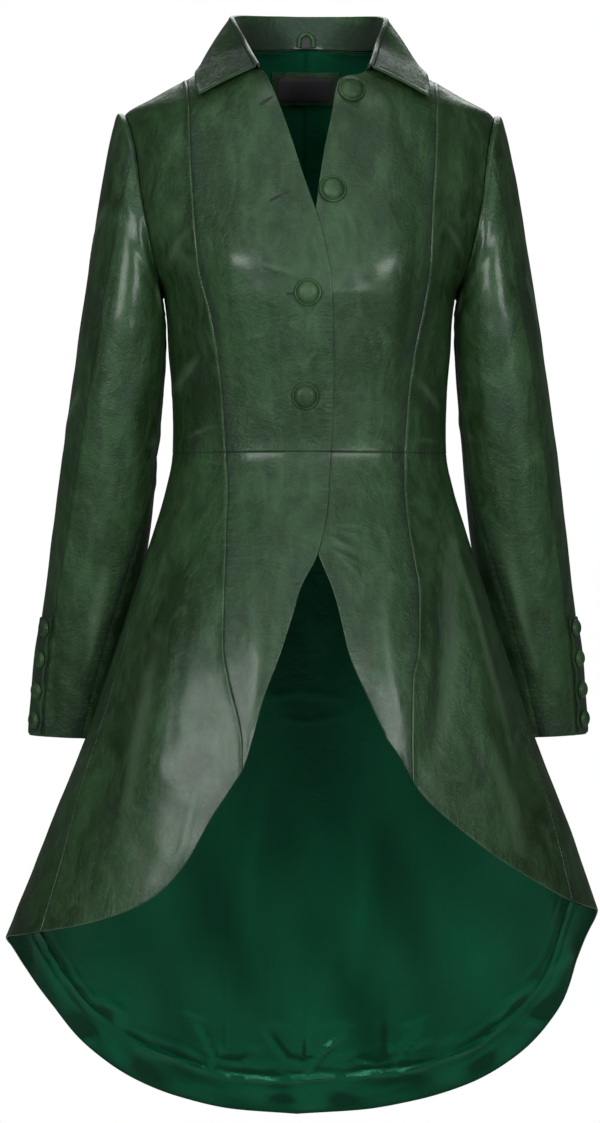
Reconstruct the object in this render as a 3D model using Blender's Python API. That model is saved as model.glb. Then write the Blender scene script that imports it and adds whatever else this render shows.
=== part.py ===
"""A fitted leather tailcoat in its worn shape, with nobody in it.

The bodice is cut on princess seams, and a waist seam joins it to a cutaway skirt with a long round
tail. It has two-piece sleeves with buttoned vents, a turned-down collar, covered buttons and a satin
lining.

The tables are in millimetres and the scene is in metres. +Z is up, -Y is the front and +X is the
wearer's left. The origin is the middle of the neck opening, near the neck ends of the shoulder seams.
"""

import math
from collections import namedtuple

import bmesh
import bpy
import numpy as np
from mathutils import Matrix, Vector

MM = 0.001

# Driving sizes
LEATHER = 2.0
SATIN = 0.8
COLLAR_WALL = 2.4
COLLAR_GAP = 0.9
SEAM_GAP = 0.32
LAYER_GAP = 0.4
LAP = 3.0
NECK_Z = 11.0
SHOULDER_Z = -59.0
UNDERARM_Z = -245.0
WAIST_Z = -410.0
COLLAR_END_ANGLE = 27.0
NECK_CORNER_ANGLE = {"right": 27.0, "left": 15.0}
LAP_FULL, LAP_NONE = 42.0, 84.0
CENTRE_BACK = 180.0
SIDES = {"right": -1, "left": 1}

# The form, as level sections: half the width, and the depth in front of and behind the line of the sides
Section = namedtuple("Section", "z half_width front_depth back_depth centre_y")
SECTIONS = (
    Section(19, 43, 40, 54, 8),
    Section(11, 70, 52, 60, 8),
    Section(2, 86, 66, 65, 8),
    Section(-16, 118, 88, 72, 8),
    Section(-40, 161, 98, 82, 7),
    Section(-59, 192, 101, 88, 5),
    Section(-75, 197, 104, 92, 4),
    Section(-100, 199, 108, 98, 3),
    Section(-150, 196, 114, 105, 1),
    Section(-200, 178, 120, 108, 0),
    Section(-225, 163, 122, 108, 0),
    Section(-245, 152, 122, 107, 0),
    Section(-278, 148, 118, 103, 0),
    Section(-300, 147, 115, 100, 0),
    Section(-343, 143.5, 107, 92, 0),
    Section(-385, 142, 100, 86, 0),
    Section(-410, 142.5, 97, 85, 0),
    Section(-447, 149.5, 101, 93, -3),
    Section(-489, 162, 110, 106, -7),
    Section(-552, 182, 120, 124, -13),
    Section(-614, 202, 127, 140, -18),
    Section(-666, 219, 131, 153, -21),
    Section(-718, 238, 134, 166, -23),
    Section(-770, 259, 137, 178, -24),
    Section(-822, 279, 140, 190, -25),
    Section(-874, 298, 143, 201, -25),
    Section(-912, 313, 145, 209, -25),
    Section(-1000, 346, 150, 230, -25),
    Section(-1130, 395, 156, 265, -25),
)

# How far the skirt swings aside
Lean = namedtuple("Lean", "z x")
LEAN = (
    Lean(11, 0),
    Lean(-640, 0),
    Lean(-820, -1.5),
    Lean(-880, -3.2),
    Lean(-910, -3.4),
    Lean(-1000, 0),
    Lean(-1130, 0),
)

# The neck seam, by the angle round the form from the centre front
Neckline = namedtuple("Neckline", "angle z")
NECKLINE = (
    Neckline(0, -29),
    Neckline(15, -24),
    Neckline(27, -19),
    Neckline(40, -6),
    Neckline(57, 4),
    Neckline(75, 9),
    Neckline(90, 11),
    Neckline(120, 14),
    Neckline(150, 17.5),
    Neckline(180, 19),
)

# The armhole, seen from the front
Armhole = namedtuple("Armhole", "z x")
ARMHOLE = (
    Armhole(-59, 192),
    Armhole(-75, 186.7),
    Armhole(-101, 181),
    Armhole(-135, 177),
    Armhole(-187, 168),
    Armhole(-210, 163.5),
    Armhole(-230, 158),
    Armhole(-245, 152),
)

# The front edges: how far out from the centre line, with less than nothing where a front laps past it
Edge = namedtuple("Edge", "z right left")
FRONT_EDGE = (
    Edge(-12, 54, 29),
    Edge(-40, 42.7, 21.7),
    Edge(-70, 31.7, 16),
    Edge(-100, 22, 9.5),
    Edge(-132, 12, 4),
    Edge(-160, 2.4, 0),
    Edge(-181, -4.6, -4),
    Edge(-207, -10.5, -8),
    Edge(-232, -14.2, -11),
    Edge(-257, -16.2, -13),
    Edge(-297, -17.9, -15.5),
    Edge(-338, -18.7, -16.5),
    Edge(-379, -17.7, -16.8),
    Edge(-410, -16.5, -16.5),
    Edge(-439, -14.7, -15),
    Edge(-465, -12.7, -12),
    Edge(-490, -7.4, -6.5),
    Edge(-515, -0.6, 2),
    Edge(-548, 16.5, 15.3),
    Edge(-574, 24.5, 22.5),
    Edge(-613, 37.4, 31.5),
    Edge(-660, 55.2, 51.5),
    Edge(-694, 64.4, 67.5),
    Edge(-722, 71.5, 85.5),
    Edge(-749, 87, 98),
)

# The princess seams, from the shoulder seam to the cutaway edge, as distances out from the centre line
Princess = namedtuple("Princess", "z right left")
FRONT_PRINCESS = (
    Princess(-22.2, 129, 129),
    Princess(-51, 127, 126),
    Princess(-100, 126, 124),
    Princess(-166, 122, 119),
    Princess(-218, 116, 115),
    Princess(-262, 105, 109),
    Princess(-320, 97, 100),
    Princess(-360, 93, 96),
    Princess(-410, 90, 93),
    Princess(-446, 88, 92),
    Princess(-487, 90, 95),
    Princess(-520, 91, 100),
    Princess(-548, 92.5, 104),
    Princess(-609, 94, 102.5),
    Princess(-640, 89, 96),
    Princess(-706, 76, 94.5),
    Princess(-749, 76, 95),
)
BACK_PRINCESS = (
    Princess(-22.2, 129, 129),
    Princess(-60, 118, 118),
    Princess(-120, 104, 104),
    Princess(-200, 92, 92),
    Princess(-300, 82, 82),
    Princess(-410, 74, 74),
    Princess(-500, 77, 77),
    Princess(-700, 82, 82),
    Princess(-900, 86, 86),
    Princess(-1130, 91, 91),
)
PRINCESS_TOP_Z = -22.2
EDGE_MEETS_HEM = {"right": -690.0, "left": -694.0}
POINT_WIDTH = 5.0

# The side seam, as an angle round the form
SideSeam = namedtuple("SideSeam", "z angle")
SIDE_SEAM = (
    SideSeam(-245, 90),
    SideSeam(-410, 88),
    SideSeam(-447, 86),
    SideSeam(-489, 82),
    SideSeam(-552, 77),
    SideSeam(-614, 75),
    SideSeam(-718, 72),
    SideSeam(-822, 66),
    SideSeam(-920, 63),
)

# The hem, by the angle round the form from the centre front
Hem = namedtuple("Hem", "angle right left")
HEM = (
    Hem(15, -680, -684),
    Hem(16.2, -692, -692),
    Hem(18, -728, -703),
    Hem(20.3, -748, -718),
    Hem(24, -779, -752),
    Hem(28.5, -827, -774),
    Hem(34, -858, -795),
    Hem(42, -876.5, -822),
    Hem(52, -888.5, -846.5),
    Hem(63, -896, -866.5),
    Hem(75, -902.5, -877),
    Hem(88, -907, -883),
    Hem(102, -919, -902),
    Hem(117, -951, -945),
    Hem(128, -991, -1004),
    Hem(140, -1042, -1057),
    Hem(150, -1078, -1089),
    Hem(160, -1106, -1112),
    Hem(170, -1123, -1125),
    Hem(180, -1129.5, -1129.5),
)

# The largest folds. A fold runs down between two heights at an angle round the form, and swings as it goes
Fold = namedtuple("Fold", "side top_z low_z top_angle low_angle height width")
FOLDS = (
    Fold("left", -480, -740, 62, 27, -5.0, 15),
    Fold("left", -540, -800, 62, 42, 5.0, 30),
    Fold("right", -520, -800, 48, 40, 4.5, 32),
    Fold("right", -560, -830, 66, 58, -3.5, 22),
    Fold("right", -700, -1110, 116, 124, 5.0, 38),
    Fold("left", -700, -1110, 116, 124, 5.0, 38),
    Fold("right", -600, -1150, 148, 150, -6.0, 46),
    Fold("left", -600, -1150, 148, 150, -6.0, 46),
)
FOLD_FADE = 90.0

# The bust, which the princess seams shape
CUP_X, CUP_Z, CUP_WIDTH, CUP_HEIGHT, CUP_RISE = 82.0, -228.0, 44.0, 62.0, 9.0

# The sleeve's rings: the outer and the inner end of each seen from the front, and its half depth and middle
Ring = namedtuple("Ring", "down outer_x outer_z inner_x inner_z half_depth centre_y")
RINGS = (
    Ring(0, 193.0, -58.6, 152.7, -245.4, 50, 2),
    Ring(8, 199.5, -57.5, 152.5, -248, 53, 2),
    Ring(24, 205, -72, 152.3, -251, 55, 2),
    Ring(50, 211, -100, 151.8, -256, 57, 2),
    Ring(90, 218, -140, 151.2, -263, 58, 3),
    Ring(145, 226.5, -195, 150.6, -273, 59, 4),
    Ring(200, 235.5, -250, 150.3, -288, 59, 6),
    Ring(255, 243.5, -305, 151, -315, 58, 10),
    Ring(307, 251, -356, 154.4, -354, 56, 15),
    Ring(357, 258.5, -406, 159, -406, 53, 22),
    Ring(410, 265.8, -458, 164, -458, 50, 31),
    Ring(463, 272.5, -510, 170.5, -510, 48, 42),
    Ring(516, 279.5, -563, 178, -563, 46, 53),
    Ring(569, 287.5, -615, 187, -615, 44, 65),
    Ring(622, 293.5, -668, 196, -668, 42, 77),
    Ring(661, 296.5, -705, 203, -709, 41, 85),
)
SLEEVE_LENGTH = RINGS[-1].down
SLEEVE_ASIDE = 4.5
ARMHOLE_BLEND = 90.0

# The sleeve's two seams, as angles round its rings from the outer end by the front
SleeveSeam = namedtuple("SleeveSeam", "down outer inner")
SLEEVE_SEAMS = (
    SleeveSeam(0, 60, 180),
    SleeveSeam(90, 58, 178),
    SleeveSeam(255, 52, 172),
    SleeveSeam(357, 48, 166),
    SleeveSeam(410, 46, 156),
    SleeveSeam(463, 44, 136),
    SleeveSeam(516, 42, 123),
    SleeveSeam(569, 43, 113),
    SleeveSeam(622, 45, 106),
    SleeveSeam(661, 47, 101),
)
OUTER_SEAM_SHARE = 1 / 3

# The collar, by the neck seam's angle: the fold at its top, and the outer edge of its fall
Collar = namedtuple("Collar", "angle fold_x fold_y fold_z edge_x edge_y edge_z")
COLLAR = (
    Collar(27, 58, -80, -14, 118, -76, -45),
    Collar(40, 64, -56, 1, 121, -57, -35),
    Collar(57, 69, -30, 16, 121, -34, -20),
    Collar(75, 78, -8, 36, 117, -10, -12),
    Collar(90, 80.5, 12, 46, 115.5, 12, -9),
    Collar(120, 72, 38, 51.5, 101, 48, -7),
    Collar(150, 41, 58, 53.5, 56, 72, -5),
    Collar(180, 0, 65, 54, 0, 81, -3),
)
FOLD_RADIUS = 3.2
FALL_BULGE = 2.0

# Buttons: the place on the front, as the height and the distance out from the centre line
BUTTON_RADIUS, BUTTON_HEIGHT = 14.0, 7.5
FRONT_BUTTONS = (("left", -40, 38.0), ("left", -144.5, 17.0), ("right", -250, 9.0), ("right", -354, 10.5))
CUFF_BUTTON_RADIUS, CUFF_BUTTON_HEIGHT = 9.0, 5.0
CUFF_BUTTONS_DOWN = (545.0, 578.0, 611.0, 643.0)
CUFF_BUTTON_ANGLE = 30.0
BUTTON_SIDES = 14
BUTTON_GAP = 0.35
BUTTON_PROFILE = ((0, 0), (0.92, 0), (1, 0.18), (0.96, 0.42), (0.7, 0.82), (0, 1))

# The vent's flap, which lies on the sleeve behind the outer seam
VENT_TOP, VENT_LOW = 533.0, 659.0
VENT_NEAR, VENT_FAR = 2.0, 41.0
VENT_WALL = 1.6

# What is sewn inside the back neck
LABEL_SIZE = (60.0, 23.0)
PATCH_SIZE = (74.0, 33.0)
LABEL_Z = -19.0
PATCH_WALL, LABEL_WALL, PATCH_LIFT = 1.2, 0.8, 1.4
LINING_NECK_DROP = 1.5
LOOP_WIDTH, LOOP_RISE, LOOP_STRIP, LOOP_WALL = 19.0, 16.5, 4.2, 2.2
LOOP_FOOT, LOOP_DEPTH = 0.3, 1.5
STAND_CURVE = 0.006
TAB_SIZE = (10.5, 7.0)
TAB_ASIDE = 2.0
TAB_WALL = 0.8

# How finely each piece is divided
LINE_SAMPLES, ROW_SAMPLES = 241, 8
ARMHOLE_ROWS, SIDE_ROWS = 9, 6
NECK_COLUMNS, RIDGE_COLUMNS, SIDE_COLUMNS = 6, 3, 5
SKIRT_ROWS = 12
SKIRT_FRONT_COLUMNS, SKIRT_SIDE_COLUMNS = 5, 7
TAIL_SIDE_COLUMNS, TAIL_COLUMNS = 12, 3
COLLAR_COLUMNS, STAND_ROWS, FOLD_ROWS, FALL_ROWS = 30, 2, 3, 3
VENT_COLUMNS, VENT_ROWS = 5, 3
PATCH_COLUMNS, PATCH_ROWS = 6, 2
LOOP_COLUMNS = 10
SMOOTH_ANGLE = 40
LINING_HEM = 3.0

COLOURS = {
    "leather": (0.045, 0.085, 0.045, 1.0),
    "satin": (0.006, 0.065, 0.035, 1.0),
    "label": (0.008, 0.006, 0.012, 1.0),
}
ROUGHNESS = {"leather": 0.42, "satin": 0.32, "label": 0.6}


def track(rows, along, value):
    """A smooth function through one column of a table, by another column, that never overshoots its rows."""
    table = np.array(sorted((getattr(row, along), getattr(row, value)) for row in rows), float)
    keys, values = table.T
    slopes = np.diff(values) / np.diff(keys)
    before, after = slopes[:-1], slopes[1:]
    same_way = before * after > 0
    middle = np.where(same_way, 2 * before * after / np.where(same_way, before + after, 1), 0)
    tangents = np.concatenate([slopes[:1], middle, slopes[-1:]])

    def at(key):
        key = np.clip(np.asarray(key, float), keys[0], keys[-1])
        i = np.clip(np.searchsorted(keys, key, side="right") - 1, 0, len(slopes) - 1)
        step = keys[i + 1] - keys[i]
        t = (key - keys[i]) / step
        ends = values[i] * (1 + 2 * t) * (1 - t) ** 2 + values[i + 1] * (3 - 2 * t) * t**2
        return ends + step * t * (1 - t) * (tangents[i] * (1 - t) - tangents[i + 1] * t)

    return at


def ramp(value, low, high):
    """0 below low and 1 above high, and smooth between."""
    t = np.clip((value - low) / (high - low), 0, 1)
    return t * t * (3 - 2 * t)


half_width = track(SECTIONS, "z", "half_width")
front_depth = track(SECTIONS, "z", "front_depth")
back_depth = track(SECTIONS, "z", "back_depth")
centre_y = track(SECTIONS, "z", "centre_y")
lean = track(LEAN, "z", "x")
neck_z = track(NECKLINE, "angle", "z")
armhole_x = track(ARMHOLE, "z", "x")
side_seam_angle = track(SIDE_SEAM, "z", "angle")
front_edge = {side: track(FRONT_EDGE, "z", side) for side in SIDES}
front_princess = {side: track(FRONT_PRINCESS, "z", side) for side in SIDES}
back_princess = {side: track(BACK_PRINCESS, "z", side) for side in SIDES}
hem_z = {side: track(HEM, "angle", side) for side in SIDES}
ring = {name: track(RINGS, "down", name) for name in Ring._fields[1:]}
sleeve_seam = {name: track(SLEEVE_SEAMS, "down", name) for name in SleeveSeam._fields[1:]}
collar = {name: track(COLLAR, "angle", name) for name in Collar._fields[1:]}


def front_angle(out, z):
    """The angle round the form of a point on the front, this far out from the centre line."""
    return np.degrees(np.arcsin(np.clip(out / half_width(z), -1, 1)))


def base_point(angle, z):
    """A point on the plain form, on the left side."""
    turn = np.radians(angle)
    depth = np.where(np.cos(turn) > 0, front_depth(z), back_depth(z))
    x = half_width(z) * np.sin(turn)
    y = centre_y(z) - depth * np.cos(turn)
    return np.stack(np.broadcast_arrays(x, y, z), axis=-1)


def base_normal(angle, z, step=0.5):
    along = base_point(angle + step, z) - base_point(angle - step, z)
    up = base_point(angle, z + step) - base_point(angle, z - step)
    return unit(np.cross(along, up))


def unit(vectors):
    return vectors / np.linalg.norm(vectors, axis=-1, keepdims=True)


def fold_relief(angle, z, side):
    """How far the folds raise the form's surface."""
    rise = np.zeros(np.broadcast(angle, z).shape)
    for fold in FOLDS:
        if fold.side != side:
            continue
        down = (fold.top_z - z) / (fold.top_z - fold.low_z)
        line = fold.top_angle + (fold.low_angle - fold.top_angle) * down
        across = np.radians(angle - line) * half_width(z)
        length = ramp(-z, -fold.top_z, -fold.top_z + FOLD_FADE) * ramp(z, fold.low_z, fold.low_z + FOLD_FADE)
        rise = rise + fold.height * length * np.exp(-((across / fold.width) ** 2))
    return rise


def relief(angle, z, side):
    """How far the garment stands off the plain form: bust, folds, and the left front under the right."""
    out = half_width(z) * np.sin(np.radians(angle))
    in_front = ramp(np.cos(np.radians(angle)), 0.05, 0.35)
    cup = np.exp(-(((np.abs(out) - CUP_X) / CUP_WIDTH) ** 2) - ((z - CUP_Z) / CUP_HEIGHT) ** 2)
    rise = CUP_RISE * cup * in_front + fold_relief(angle, z, side)
    if side == "left":
        rise = rise - LAP * (1 - ramp(out, LAP_FULL, LAP_NONE)) * in_front
    return rise


def form_face(spots, side, depth=0.0):
    """Points on the garment's outer surface, or this far inside it, for angles and heights."""
    angle, z = spots[..., 0], spots[..., 1]
    reach = relief(angle, z, side) - depth
    points = base_point(angle, z) + base_normal(angle, z) * reach[..., None]
    points = points * np.array([SIDES[side], 1, 1])
    points[..., 0] += lean(z)
    return points


def spread(points, count):
    """Where, along a line of points, count + 1 even steps fall, as places in the list of points."""
    lengths = np.linalg.norm(np.diff(points, axis=0), axis=-1)
    travelled = np.concatenate([[0], np.cumsum(lengths)])
    return np.interp(np.linspace(0, travelled[-1], count + 1), travelled, np.arange(len(points)))


def pick(spots, places):
    """Spots read from a list at places that may lie between two of them."""
    return np.stack([np.interp(places, np.arange(len(spots)), column) for column in spots.T], axis=-1)


def line_on_form(angles, heights, count, side):
    """A line on the form, as count + 1 even spots: an angle and a height for each."""
    spots = np.stack([angles, heights], axis=-1)
    spots = pick(spots, np.linspace(0, len(spots) - 1, LINE_SAMPLES))
    return pick(spots, spread(form_face(spots, side), count))


def seam_line(angle_at, top, low, count, side):
    """A line whose angle is a function of the height. Its spots gather where the shoulder turns away."""
    z = top + (low - top) * np.linspace(0, 1, LINE_SAMPLES) ** 2
    return line_on_form(angle_at(z), z, count, side)


def hem_line(inner_angle, outer_angle, count, side):
    angle = np.linspace(inner_angle, outer_angle, LINE_SAMPLES)
    return line_on_form(angle, hem_z[side](angle), count, side)


def waist_line(inner_angle, outer_angle, count, side):
    return line_on_form([inner_angle, outer_angle], [WAIST_Z, WAIST_Z], count, side)


def at_centre_back(z):
    return np.full_like(z, CENTRE_BACK)


def end_to_end(first, second):
    return np.concatenate([first, second[1:]])


def to_distance(spots):
    """Spots as distances out from the centre line instead of angles."""
    out = half_width(spots[..., 1]) * np.sin(np.radians(spots[..., 0]))
    return np.stack([out, spots[..., 1]], axis=-1)


def to_angle(spots, back):
    angle = front_angle(spots[..., 0], spots[..., 1])
    return np.stack([CENTRE_BACK - angle if back else angle, spots[..., 1]], axis=-1)


def panel_grid(inner, outer, top, low, side, flat=None):
    """A panel's spots between four lines of spots: from the inner to the outer line, and from the top down.

    flat is front or back for a panel that is laid out by distance from the centre line. Each column of
    spots is then spread evenly over the form.
    """
    columns, rows = len(top) - 1, len(inner) - 1
    lines = inner, outer, top, low
    if flat:
        lines = [to_distance(line) for line in lines]
    fine = ROW_SAMPLES * rows
    places = np.linspace(0, rows, fine + 1)
    first, last = (pick(line, places) for line in lines[:2])
    u = np.linspace(0, 1, columns + 1)[:, None, None]
    v = np.linspace(0, 1, fine + 1)[None, :, None]
    across = (1 - u) * first[None] + u * last[None]
    down = (1 - v) * lines[2][:, None] + v * lines[3][:, None]
    ends = (1 - v) * across[:, :1] + v * across[:, -1:]
    spots = across + down - ends
    if flat:
        spots = to_angle(spots, flat == "back")
    points = form_face(spots, side)
    grid = np.stack([pick(spots[i], spread(points[i], rows)) for i in range(columns + 1)])
    grid[0], grid[-1] = inner, outer
    grid[:, 0], grid[:, -1] = top, low
    return grid


def pull_in(points, distance, first=True, last=True, axis=0):
    """Moves the end lines of a grid of points towards the lines beside them."""
    lines = np.moveaxis(points, axis, 0)
    if first:
        lines[0] += unit(lines[1] - lines[0]) * distance
    if last:
        lines[-1] += unit(lines[-2] - lines[-1]) * distance


def wall(name, outer, inner, slot="leather", gap=SEAM_GAP, low_gap=SEAM_GAP):
    """A cloth wall between two grids of points. Its edges stand back by half the gap."""
    for face in (outer, inner):
        pull_in(face, gap / 2)
        pull_in(face, gap / 2, last=False, axis=1)
        pull_in(face, low_gap / 2, first=False, axis=1)
    columns, rows = outer.shape[0] - 1, outer.shape[1] - 1
    bm = bmesh.new()
    bmesh.ops.create_grid(bm, x_segments=columns, y_segments=rows, size=0.5)
    bmesh.ops.triangulate(bm, faces=bm.faces[:], quad_method="FIXED")
    bmesh.ops.solidify(bm, geom=bm.faces[:], thickness=1.0)
    for vertex in bm.verts:
        i, j = round((vertex.co.x + 0.5) * columns), round((vertex.co.y + 0.5) * rows)
        face = outer if abs(vertex.co.z) < 0.5 else inner
        vertex.co = Vector(face[i, j]) * MM
    return finish(name, bm, slot)


def panel(name, grid, side, depth=0.0, thickness=LEATHER, **options):
    """A panel's wall. Its columns run to the left on both sides, so that the layers divide alike."""
    if side == "right":
        grid = grid[::-1]
    outer = form_face(grid, side, depth)
    inner = form_face(grid, side, depth + thickness)
    return wall(name, outer, inner, **options)


def finish(name, bm, slot):
    bmesh.ops.recalc_face_normals(bm, faces=bm.faces)
    if bm.calc_volume(signed=True) < 0:
        bmesh.ops.reverse_faces(bm, faces=bm.faces[:])
    mesh = bpy.data.meshes.new(name)
    bm.to_mesh(mesh)
    bm.free()
    mesh.shade_smooth()
    mesh.set_sharp_from_angle(angle=math.radians(SMOOTH_ANGLE))
    mesh.materials.append(make_material(name, slot))
    obj = bpy.data.objects.new(name, mesh)
    bpy.context.scene.collection.objects.link(obj)
    return obj


def make_material(name, slot):
    made = bpy.data.materials.new(name + "_" + slot)
    made.use_nodes = True
    shader = made.node_tree.nodes["Principled BSDF"]
    shader.inputs["Base Color"].default_value = COLOURS[slot]
    shader.inputs["Roughness"].default_value = ROUGHNESS[slot]
    shader.inputs["Metallic"].default_value = 0.0
    return made


def armhole_line(count, side, back):
    """The armhole from the shoulder tip down to the underarm, by the front or by the back."""
    share = np.sin(np.linspace(0, np.pi / 2, LINE_SAMPLES)) ** 2
    z = SHOULDER_Z + (UNDERARM_Z - SHOULDER_Z) * share
    angle = front_angle(armhole_x(z), z)
    return line_on_form(CENTRE_BACK - angle if back else angle, z, count, side)


def bodice(side):
    """The four panels of one side of the body. Returns the spots of the back panel, for the lining."""
    rows = ARMHOLE_ROWS + SIDE_ROWS
    ridge = [90.0, 90.0]
    side_angle = float(side_seam_angle(WAIST_Z))
    princess_angle = float(front_angle(front_princess[side](WAIST_Z), WAIST_Z))
    back_angle = float(CENTRE_BACK - front_angle(back_princess[side](WAIST_Z), WAIST_Z))
    edge_angle = float(front_angle(front_edge[side](WAIST_Z), WAIST_Z))
    neck_angle = NECK_CORNER_ANGLE[side]
    side_seam = seam_line(side_seam_angle, UNDERARM_Z, WAIST_Z, SIDE_ROWS, side)
    shoulder = line_on_form(ridge, [NECK_Z, PRINCESS_TOP_Z], RIDGE_COLUMNS, side)
    shoulder_end = line_on_form(ridge, [PRINCESS_TOP_Z, SHOULDER_Z], SIDE_COLUMNS, side)

    corner_z = float(neck_z(neck_angle))
    edge = seam_line(lambda z: front_angle(front_edge[side](z), z), corner_z, WAIST_Z, rows, side)
    edge[0] = neck_angle, corner_z
    def princess_at(z):
        return front_angle(front_princess[side](z), z)

    princess = seam_line(princess_at, PRINCESS_TOP_Z, WAIST_Z, rows, side)
    princess[0, 0] = 90.0
    angles = np.linspace(neck_angle, 90, LINE_SAMPLES)
    neck = line_on_form(angles, neck_z(angles), NECK_COLUMNS, side)
    low = waist_line(edge_angle, princess_angle, NECK_COLUMNS + RIDGE_COLUMNS, side)
    grid = panel_grid(edge, princess, end_to_end(neck, shoulder), low, side, "front")
    panel("front_" + side, grid, side)

    outer = end_to_end(armhole_line(ARMHOLE_ROWS, side, False), side_seam)
    low = waist_line(princess_angle, side_angle, SIDE_COLUMNS, side)
    panel("side_front_" + side, panel_grid(princess, outer, shoulder_end, low, side), side)

    def back_at(z):
        return CENTRE_BACK - front_angle(back_princess[side](z), z)

    princess = seam_line(back_at, PRINCESS_TOP_Z, WAIST_Z, rows, side)
    princess[0, 0] = 90.0
    outer = end_to_end(armhole_line(ARMHOLE_ROWS, side, True), side_seam)
    low = waist_line(back_angle, side_angle, SIDE_COLUMNS, side)
    panel("side_back_" + side, panel_grid(princess, outer, shoulder_end, low, side), side)

    angles = np.linspace(CENTRE_BACK, 90, LINE_SAMPLES)
    neck = line_on_form(angles, neck_z(angles), NECK_COLUMNS, side)
    centre = seam_line(at_centre_back, float(neck_z(CENTRE_BACK)), WAIST_Z, rows, side)
    low = waist_line(CENTRE_BACK, back_angle, NECK_COLUMNS + RIDGE_COLUMNS, side)
    grid = panel_grid(centre, princess, end_to_end(neck, shoulder), low, side, "back")
    panel("back_" + side, grid, side)
    return grid


def hem_crossing(angle_at, side):
    """The height at which a seam, whose angle is a function of the height, meets the hem."""
    z = np.linspace(-1140, -640, 5001)
    miss = np.abs(hem_z[side](angle_at(z)) - z)
    return float(z[np.argmin(miss)])


def skirt(side):
    """The four panels of one side of the skirt, and the lining that shows inside its tail."""
    def princess_at(z):
        return front_angle(front_princess[side](z), z)

    def back_at(z):
        return CENTRE_BACK - front_angle(back_princess[side](z), z)

    princess_low = hem_crossing(princess_at, side)
    princess_end = float(princess_at(princess_low))
    side_low = hem_crossing(side_seam_angle, side)
    side_end = float(side_seam_angle(side_low))
    back_low = hem_crossing(back_at, side)
    back_end = float(back_at(back_low))
    princess_top = float(princess_at(WAIST_Z))
    side_top = float(side_seam_angle(WAIST_Z))
    back_top = float(back_at(WAIST_Z))
    edge_top = float(front_angle(front_edge[side](WAIST_Z), WAIST_Z))
    point = princess_end - math.degrees(POINT_WIDTH / float(half_width(princess_low)))

    z = np.linspace(WAIST_Z, EDGE_MEETS_HEM[side], LINE_SAMPLES)
    hem_from = front_angle(front_edge[side](z[-1]), z[-1])
    angles = np.linspace(float(hem_from), point, LINE_SAMPLES)
    edge_angles = np.concatenate([front_angle(front_edge[side](z), z), angles[1:]])
    edge_heights = np.concatenate([z, hem_z[side](angles[1:])])
    edge = line_on_form(edge_angles, edge_heights, SKIRT_ROWS, side)
    princess = seam_line(princess_at, WAIST_Z, princess_low, SKIRT_ROWS, side)
    top = waist_line(edge_top, princess_top, SKIRT_FRONT_COLUMNS, side)
    low = hem_line(point, princess_end, SKIRT_FRONT_COLUMNS, side)
    panel("skirt_front_" + side, panel_grid(edge, princess, top, low, side), side)

    side_seam = seam_line(side_seam_angle, WAIST_Z, side_low, SKIRT_ROWS, side)
    top = waist_line(princess_top, side_top, SKIRT_SIDE_COLUMNS, side)
    low = hem_line(princess_end, side_end, SKIRT_SIDE_COLUMNS, side)
    panel("skirt_side_" + side, panel_grid(princess, side_seam, top, low, side), side)

    back = seam_line(back_at, WAIST_Z, back_low, SKIRT_ROWS, side)
    top = waist_line(side_top, back_top, TAIL_SIDE_COLUMNS, side)
    low = hem_line(side_end, back_end, TAIL_SIDE_COLUMNS, side)
    leather_and_lining("tail_side_" + side, panel_grid(side_seam, back, top, low, side), side)

    hem_at_back = float(hem_z[side](CENTRE_BACK))
    centre = seam_line(at_centre_back, WAIST_Z, hem_at_back, SKIRT_ROWS, side)
    top = waist_line(back_top, CENTRE_BACK, TAIL_COLUMNS, side)
    low = hem_line(back_end, CENTRE_BACK, TAIL_COLUMNS, side)
    leather_and_lining("tail_" + side, panel_grid(back, centre, top, low, side), side)


def leather_and_lining(name, grid, side):
    panel(name, grid, side)
    depth = LEATHER + LAYER_GAP
    panel("lining_" + name, grid, side, depth, SATIN, slot="satin", low_gap=2 * LINING_HEM)


def back_lining(grids):
    """The satin inside the two back panels, in one piece."""
    depth = LEATHER + LAYER_GAP
    faces = []
    for reach in (depth, depth + SATIN):
        right = form_face(grids["right"], "right", reach)[::-1]
        left = form_face(grids["left"], "left", reach)
        faces.append(np.concatenate([right, left[1:]]))
    for face in faces:
        pull_in(face, LINING_NECK_DROP, last=False, axis=1)
    wall("lining_back", *faces, slot="satin")


def sleeve_rings(psi, down, side):
    """Points on the sleeve's outer surface, for angles round its rings and distances down it."""
    at = {name: value(down) for name, value in ring.items()}
    turn = np.radians(psi)
    middle_x, middle_z = (at["outer_x"] + at["inner_x"]) / 2, (at["outer_z"] + at["inner_z"]) / 2
    reach_x, reach_z = (at["outer_x"] - at["inner_x"]) / 2, (at["outer_z"] - at["inner_z"]) / 2
    x = middle_x + reach_x * np.cos(turn)
    z = middle_z + reach_z * np.cos(turn)
    y = at["centre_y"] - at["half_depth"] * np.sin(turn)
    aside = SLEEVE_ASIDE * down / SLEEVE_LENGTH
    return np.stack([x * SIDES[side] + aside, y, z], axis=-1)


def sleeve_surface(psi, down, start, side):
    """The sleeve's surface, which leaves the armhole at the points start, one for each column."""
    fade = 1 - ramp(down, 0, ARMHOLE_BLEND)
    shift = start[:, None] - sleeve_rings(psi[:, :1], np.zeros((len(psi), 1)), side)
    return sleeve_rings(psi, down, side) + fade[..., None] * shift


def surface_normals(points, outward):
    """The normals of a grid of points, on the side that the sign outward picks."""
    along = np.gradient(points, axis=0)
    down = np.gradient(points, axis=1)
    return outward * unit(np.cross(along, down))


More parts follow.
